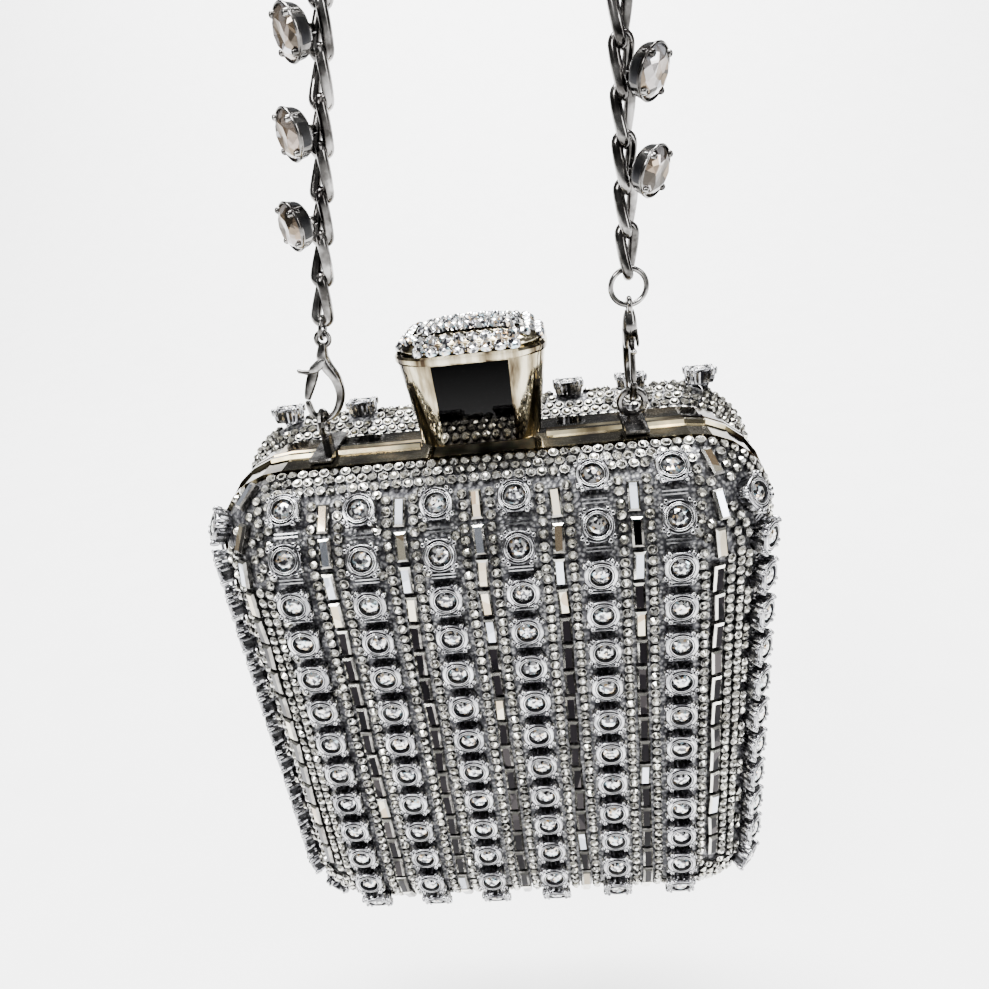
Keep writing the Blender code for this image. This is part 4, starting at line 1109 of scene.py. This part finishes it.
def dress_half(label, body, back):
    profile = BACK if back else FRONT
    columns, lines = back_layout() if back else front_layout()
    dress_shell(label, body, back, profile)
    dress_columns(label, body, back, columns)
    dress_bars(label, body, back, columns)
    lift = -BACK_INSET if back else FIT_GAP
    field = []
    for place in small_places(profile, columns, lines):
        field.append(tipped(spun(raised(place, lift), rng.uniform(0, math.pi)), STONE_TIP))
    # The back half's small stones take the darker copy as painted shade.
    skins = [SMALL_BACK_PAINTED_SHADE if back else SMALL_PAINTED_SPARKLE, SMALL_CUP]
    small_stones = stamp(f"{label}_small_stones", small_template(), for_half(field, back), skins, body)
    places, kinds = long_places(profile, lines)
    skins = [BEVEL_PAINTED_LIGHT, SMALL_CUP, SILVER, BEVEL_PAINTED_SHADE, TABLE_PAINTED_DARK_REFLECTION, TABLE_PAINTED_BRIGHT_REFLECTION, TABLE_PAINTED_WARM_REFLECTION]
    baguettes = stamp(f"{label}_baguettes", baguette_template(), for_half(places, back), skins, body, kinds)
    for piece in (small_stones, baguettes):
        stands_for(piece, "setting", f"{label}_shell")
    # The back rail takes the darker gold as a painted dark reflection.
    smoothed(f"{label}_rail", BACK_RAIL_GOLD_PAINTED_DARK if back else RAIL_GOLD_PAINTED_REFLECTION, body, "rail")
    smoothed(f"{label}_hinge_leaf", STEEL, body, "hinge")
    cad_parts[f"{label}_lining"].data.materials[0] = LINING


def knob_ring(half_x, half_y, corner, height):
    """One outline of the knob, level, at a height over its foot."""
    spots = outline(half_x, half_y, corner, KNOB_CORNER_STEPS)
    return [Vector((point.x, point.z + KNOB_Y, KNOB_Z + height)) + DROP for point, _ in spots]


def dome_rows():
    """The two lowest rows of stones on the dome; the rounded corners of the lower one stay plain."""
    places = []
    for inset, lift, lean, plain in DOME_ROWS:
        for point, out in outline_walk(*[size - inset for size in KNOB_HEAD], PAVE_PITCH):
            if plain and min(abs(out.x), abs(out.z)) > PLAIN_CORNER_SHARE:
                continue
            normal = Vector((out.x, out.z, lean)).normalized()
            across = Vector((-out.z, out.x, 0))
            origin = Vector((point.x, point.z + KNOB_Y, KNOB_Z + DOME_BASE + lift))
            places.append((origin, across, normal.cross(across), normal))
    return places


def dress_knob():
    """A tapered block with flat faces painted as a black reflection and rounded gold corners, and its stem.
    """
    rings = []
    for name, inset, height in KNOB_STEPS:
        rings.append(knob_ring(*[size - inset for size in KNOB_OUTLINES[name]], height))
    verts, faces = lofted(rings)
    count = len(rings[0])
    slots = [0] * len(faces)
    # The flat faces of that band take the painted reflection.
    for i in range(KNOB_CORNER_STEPS, count, KNOB_CORNER_STEPS + 1):
        slots[PAINTED_REFLECTION_BAND * count + i] = 1
    block = make_piece("knob_shell", verts, faces, [KNOB_GOLD_PAINTED_STREAKS, KNOB_PAINTED_REFLECTION], "clasp_knob", slots)
    block.data.set_sharp_from_angle(angle=math.radians(SMOOTH_LIMIT))
    stands_for(block, "rail", "knob_body")
    smoothed("knob_stem", STEEL, "clasp_knob", "hinge")


def dress_dome():
    """The knob's cap and the round stones that pave it."""
    inner_x, inner_y = KNOB_HEAD[0] - DOME_INSET, KNOB_HEAD[1] - DOME_INSET
    rise = DOME_RISE - FIT_GAP - PAVE_HEIGHT
    rings = []
    for number in range(DOME_STEPS):
        angle = math.radians(90) * number / DOME_STEPS
        share = math.cos(angle)
        height = DOME_BASE + (rise - CAP_SINK) * math.sin(angle)
        rings.append(knob_ring(inner_x * share, inner_y * share, KNOB_HEAD_CORNER * share, height))
    cap = make_piece("knob_cap", *lofted(rings), [KNOB_GOLD_PAINTED_STREAKS], "clasp_knob")
    places = dome_rows()
    rows = math.ceil(KNOB_HEAD[1] / PAVE_ROW)
    for row in range(-rows, rows + 1):
        for column in range(-PAVE_COLUMNS, PAVE_COLUMNS + 1):
            x = (column + (row % 2) / 2) * PAVE_PITCH
            y = row * PAVE_ROW
            power_x = (abs(x) / inner_x) ** DOME_POWER
            power_y = (abs(y) / inner_y) ** DOME_POWER
            share = max((power_x + power_y) ** (1 / DOME_POWER), DOME_TIP)
            if share > DOME_LIMIT:
                continue
            steep = rise / math.sqrt(1 - share ** 2) * share ** (2 - DOME_POWER)
            lean_x = math.copysign(power_x, x) / max(abs(x), DOME_TIP) * steep
            lean_y = math.copysign(power_y, y) / max(abs(y), DOME_TIP) * steep
            normal = Vector((lean_x, lean_y, 1)).normalized()
            across = (Vector((1, 0, 0)) - normal * normal.x).normalized()
            origin = Vector((x, y + KNOB_Y, KNOB_Z + DOME_BASE + rise * math.sqrt(1 - share ** 2)))
            places.append((origin, across, normal.cross(across), normal))
    places = free_places(places, [], PAVE_SPACING)
    pave = stamp("knob_pave", brilliant_template(*PAVE_GEM), places, [CLEAR_PAINTED_SPARKLE], "clasp_knob")
    for piece in (cap, pave):
        stands_for(piece, "setting", "knob_stone_dome")


def chain_frame(distance):
    """Point, direction and outward side of the strap's line, by distance from the left claw's foot."""
    if distance < STRAIGHT_LENGTH:
        return LEFT_FOOT + STRAP_UP * distance, STRAP_UP, STRAP_OUT
    turn = min(LEAN + (distance - STRAIGHT_LENGTH) / ARCH_RADIUS, math.pi)
    out = Vector((-math.cos(turn), 0, math.sin(turn)))
    drop = Vector((0, 0, max(distance - STRAIGHT_LENGTH - ARCH_LENGTH, 0)))
    return ARCH + out * ARCH_RADIUS - drop, Vector((math.sin(turn), 0, math.cos(turn))), out


def link_points(distance, half_length):
    """Centre line of one link: a long loop twisted a quarter turn along its length."""
    centre, along, out = chain_frame(distance)
    aside = along.cross(out)
    straight = half_length - LINK_HALF_WIDTH - LINK_BODY + LINK_WIRE
    points = []
    for end in (1, -1):
        for i in range(LINK_END_STEPS + 1):
            angle = math.pi * i / LINK_END_STEPS
            u = end * LINK_HALF_WIDTH * math.cos(angle)
            v = end * (straight + LINK_HALF_WIDTH * math.sin(angle))
            points.append((u, v))
        for i in range(1, LINK_SIDE_STEPS):
            points.append((-end * LINK_HALF_WIDTH, end * straight * (1 - 2 * i / LINK_SIDE_STEPS)))
    placed = []
    for u, v in points:
        twist = math.pi / 4 * (v / half_length + 1)
        placed.append(centre + along * v + (out * math.cos(twist) - aside * math.sin(twist)) * u)
    return placed


def link_mesh(middles, half_length):
    """All the links, swept round their centre lines."""
    curve = bpy.data.curves.new("strap_links", "CURVE")
    curve.dimensions = "3D"
    curve.bevel_depth = LINK_BODY
    curve.bevel_resolution = LINK_ROUNDNESS
    curve.materials.append(NICKEL)
    for distance in middles:
        points = link_points(distance, half_length)
        spline = curve.splines.new("POLY")
        spline.points.add(len(points) - 1)
        for spot, point in zip(spline.points, points):
            spot.co = (*(point + DROP), 1)
        spline.use_cyclic_u = True
        spline.use_smooth = True
    helper = added("strap_links", curve)
    mesh = bpy.data.meshes.new_from_object(helper)
    bpy.data.objects.remove(helper)
    return mesh


def dress_chain():
    """All the links in one piece, and barrels with crystals on every second link."""
    start = EYE_UP + JUMP_SEAT + 2 * JUMP_RADIUS_LEFT - (LINK_WIRE + JUMP_WIRE_LEFT + JUMP_GAP)
    end = STRAIGHT_LENGTH + ARCH_LENGTH + ARCH_HEIGHT - RIGHT_FOOT.z + LINK_WIRE + JUMP_WIRE_RIGHT + JUMP_GAP
    end -= EYE_UP * RIGHT_CLAW_SHARE + JUMP_SEAT + 2 * JUMP_RADIUS_RIGHT
    overlap = 2 * LINK_WIRE + FIT_GAP
    pitch = (end - start - overlap) / LINK_COUNT
    half_length = (pitch + overlap) / 2
    middles = [start + half_length + number * pitch for number in range(LINK_COUNT)]
    links = add_mesh("strap_links", link_mesh(middles, half_length), "strap")
    places = []
    for distance in middles[2:-1:2]:
        centre, along, aside = chain_frame(distance)
        facing = (aside + along.cross(aside) * STONE_FRONT).normalized() - along * along.z * STONE_SAG
        facing.normalize()
        upright = (along - facing * along.dot(facing)).normalized()
        places.append((centre + facing * SETTING_START, facing.cross(upright), -upright, facing))
    stems = stamp("strap_stems", stem_template(), places, [NICKEL], "strap")
    barrels = stamp("strap_barrels", setting_template(), places, [NICKEL, PAINTED_SHADE], "strap")
    gems = stamp("strap_gems", brilliant_template(*STRAP_GEM), places, [STRAP_PAINTED_SPARKLE], "strap")
    nodes = [f"chain_link_{number + 1:02d}" for number in range(LINK_COUNT)]
    for piece, slot in ((links, "chain"), (stems, "chain"), (barrels, "chain"), (gems, "setting")):
        stands_for(piece, slot, *nodes)


def stem_template():
    """The short post between a link and its barrel."""
    heights = (LINK_HALF_WIDTH - SETTING_START, STEM_TOP)
    verts, faces = lofted([circle(STEM_SIDES, STEM_RADIUS, height) for height in heights])
    return verts, faces, [0] * len(faces), [True] * STEM_SIDES + [False] * 2


def softened(rows):
    """Rows of numbers with more rows between them, on a smooth curve through them all."""
    rows = [np.array(row) for row in rows]
    soft = []
    for number in range(len(rows) - 1):
        before, first, last = rows[max(number - 1, 0)], rows[number], rows[number + 1]
        after = rows[min(number + 2, len(rows) - 1)]
        for step in range(CURVE_STEPS):
            t = step / CURVE_STEPS
            slope = last - before
            bend = 2 * before - 5 * first + 4 * last - after
            swing = 3 * first - before - 3 * last + after
            soft.append((2 * first + slope * t + bend * t * t + swing * t ** 3) / 2)
    soft.append(rows[-1])
    return soft


def bar(rows, to_point, shift=0):
    """A bent bar with rounded ends along a path in a claw's plane."""
    path = softened(rows)
    first, last = path[0].copy(), path[-1].copy()
    verts = []
    for number, row in enumerate(path):
        ahead = path[min(number + 1, len(path) - 1)][:2] - path[max(number - 1, 0)][:2]
        side = np.array((ahead[1], -ahead[0])) / np.linalg.norm(ahead)
        for j in range(BAR_SIDES):
            turn = 2 * math.pi * j / BAR_SIDES
            u, w = row[:2] + side * row[2] * math.cos(turn)
            verts.append(to_point(u, w, shift + row[3] * math.sin(turn)))
    count = len(path)
    faces = bridge(BAR_SIDES, count)
    for end, low in ((first, 0), (last, (count - 1) * BAR_SIDES)):
        tip = len(verts)
        verts.append(to_point(end[0], end[1], shift))
        for j in range(BAR_SIDES):
            following = low + (j + 1) % BAR_SIDES
            faces.append((low + j, following, tip) if low else (following, low + j, tip))
    return verts, faces


def round_ring(centre, across, up, radius, wire):
    verts = []
    for i in range(RING_STEPS):
        turn = 2 * math.pi * i / RING_STEPS
        out = across * math.cos(turn) + up * math.sin(turn)
        for j in range(BAR_SIDES):
            roll = 2 * math.pi * j / BAR_SIDES
            aside = across.cross(up) * wire * math.sin(roll)
            verts.append(centre + out * (radius + wire * math.cos(roll)) + aside)
    faces = [tuple(i % len(verts) for i in face) for face in bridge(BAR_SIDES, RING_STEPS + 1)]
    return verts, faces


def dress_claw(side, foot, across, up, size):
    """A claw with its eye and cheeks, its trigger and its jump ring."""
    out = across.cross(up)

    def to_point(u, w, n):
        return foot + (across * u + up * w + out * n) * size

    cheeks = [bar(CHEEK_PATH, to_point, sign * CHEEK_STAND) for sign in (-1, 1)]
    eye = round_ring(to_point(0, EYE_UP, 0), across, up, EYE_RADIUS, EYE_WIRE)
    claw = joined([bar(CLAW_PATH, to_point), eye] + cheeks)
    trigger = joined([bar(TRIGGER_PATH, to_point), bar(THUMB_PATH, to_point)])
    radius = JUMP_RADIUS_LEFT if side == "left" else JUMP_RADIUS_RIGHT
    wire = JUMP_WIRE_LEFT if side == "left" else JUMP_WIRE_RIGHT
    centre = foot + up * (EYE_UP * size + JUMP_SEAT + radius)
    ring = round_ring(centre, out, up, radius, wire)
    parts = (("claw", claw, "strap"), ("trigger", trigger, f"{side}_trigger"), ("jump_ring", ring, "strap"))
    for part, (verts, faces), body in parts:
        piece = make_piece(f"{side}_{part}_skin", [v + DROP for v in verts], faces, [NICKEL], body)
        stands_for(piece, "chain", f"{side}_{part}")


def dress_fittings():
    dress_claw("left", LEFT_FOOT, -STRAP_OUT, STRAP_UP, 1)
    dress_claw("right", RIGHT_FOOT, Vector((0, 1, 0)), Vector((0, 0, 1)), RIGHT_CLAW_SHARE)
    for side in ("left", "right"):
        smoothed(f"{side}_strap_loop", NICKEL, "back_half", "chain")
    smoothed("strike_fork", STEEL, "front_half", "hinge")


def set_stage():
    """A pale floor that sweeps up into a backdrop without an edge."""
    section = [(-SWEEP_FRONT, FLOOR)]
    for step in range(SWEEP_STEPS + 1):
        turn = math.radians(SWEEP_TURN) * step / SWEEP_STEPS
        at = SWEEP_BACK + SWEEP_RADIUS * math.sin(turn)
        section.append((at, FLOOR + SWEEP_RADIUS * (1 - math.cos(turn))))
    verts = [(x, y, z) for y, z in section for x in (-SWEEP_FRONT, SWEEP_FRONT)]
    faces = [(2 * i, 2 * i + 1, 2 * i + 3, 2 * i + 2) for i in range(len(section) - 1)]
    mesh = bpy.data.meshes.new("studio_sweep")
    mesh.from_pydata(verts, [], faces)
    mesh.polygons.foreach_set("use_smooth", [True] * len(faces))
    mesh.materials.append(PALE_FLOOR)
    added("studio_sweep", mesh)


def set_light():
    for name, at, target, size, power in LIGHTS:
        light = bpy.data.lights.new(name, "AREA")
        light.shape = "RECTANGLE"
        light.size, light.size_y = size
        light.energy = power
        made = added(name, light)
        made.location = at
        made.rotation_euler = (Vector(target) - Vector(at)).to_track_quat("-Z", "Y").to_euler()
    world = bpy.data.worlds.new("studio")
    world.use_nodes = True
    bpy.context.scene.world = world
    world.node_tree.nodes["Background"].inputs["Color"].default_value = (1, 1, 1, 1)
    world.node_tree.nodes["Background"].inputs["Strength"].default_value = WORLD_STRENGTH


def set_camera():
    """The photograph's view, fitted to the grid of face stones."""
    right = Vector((0.9935, 0.0313, -0.1096))
    down = Vector((-0.0857, -0.4286, -0.8994))
    ahead = Vector((-0.0752, 0.903, -0.4231))
    eye = Vector((0.0144, -0.1616, 0.13015)) + DROP
    camera = bpy.data.cameras.new("photo_view")
    camera.sensor_width = SENSOR_WIDTH
    camera.lens = FOCAL_PX / IMAGE_WIDTH * SENSOR_WIDTH
    camera.clip_start = 0.01
    made = added("photo_view", camera)
    turn = Matrix((right, -down, -ahead)).transposed().to_4x4()
    made.matrix_world = Matrix.Translation(eye) @ turn
    bpy.context.scene.camera = made


def main():
    dress_half("front", "front_half", False)
    dress_half("back", "back_half", True)
    dress_knob()
    dress_dome()
    dress_chain()
    dress_fittings()
    set_stage()
    set_light()
    set_camera()


main()
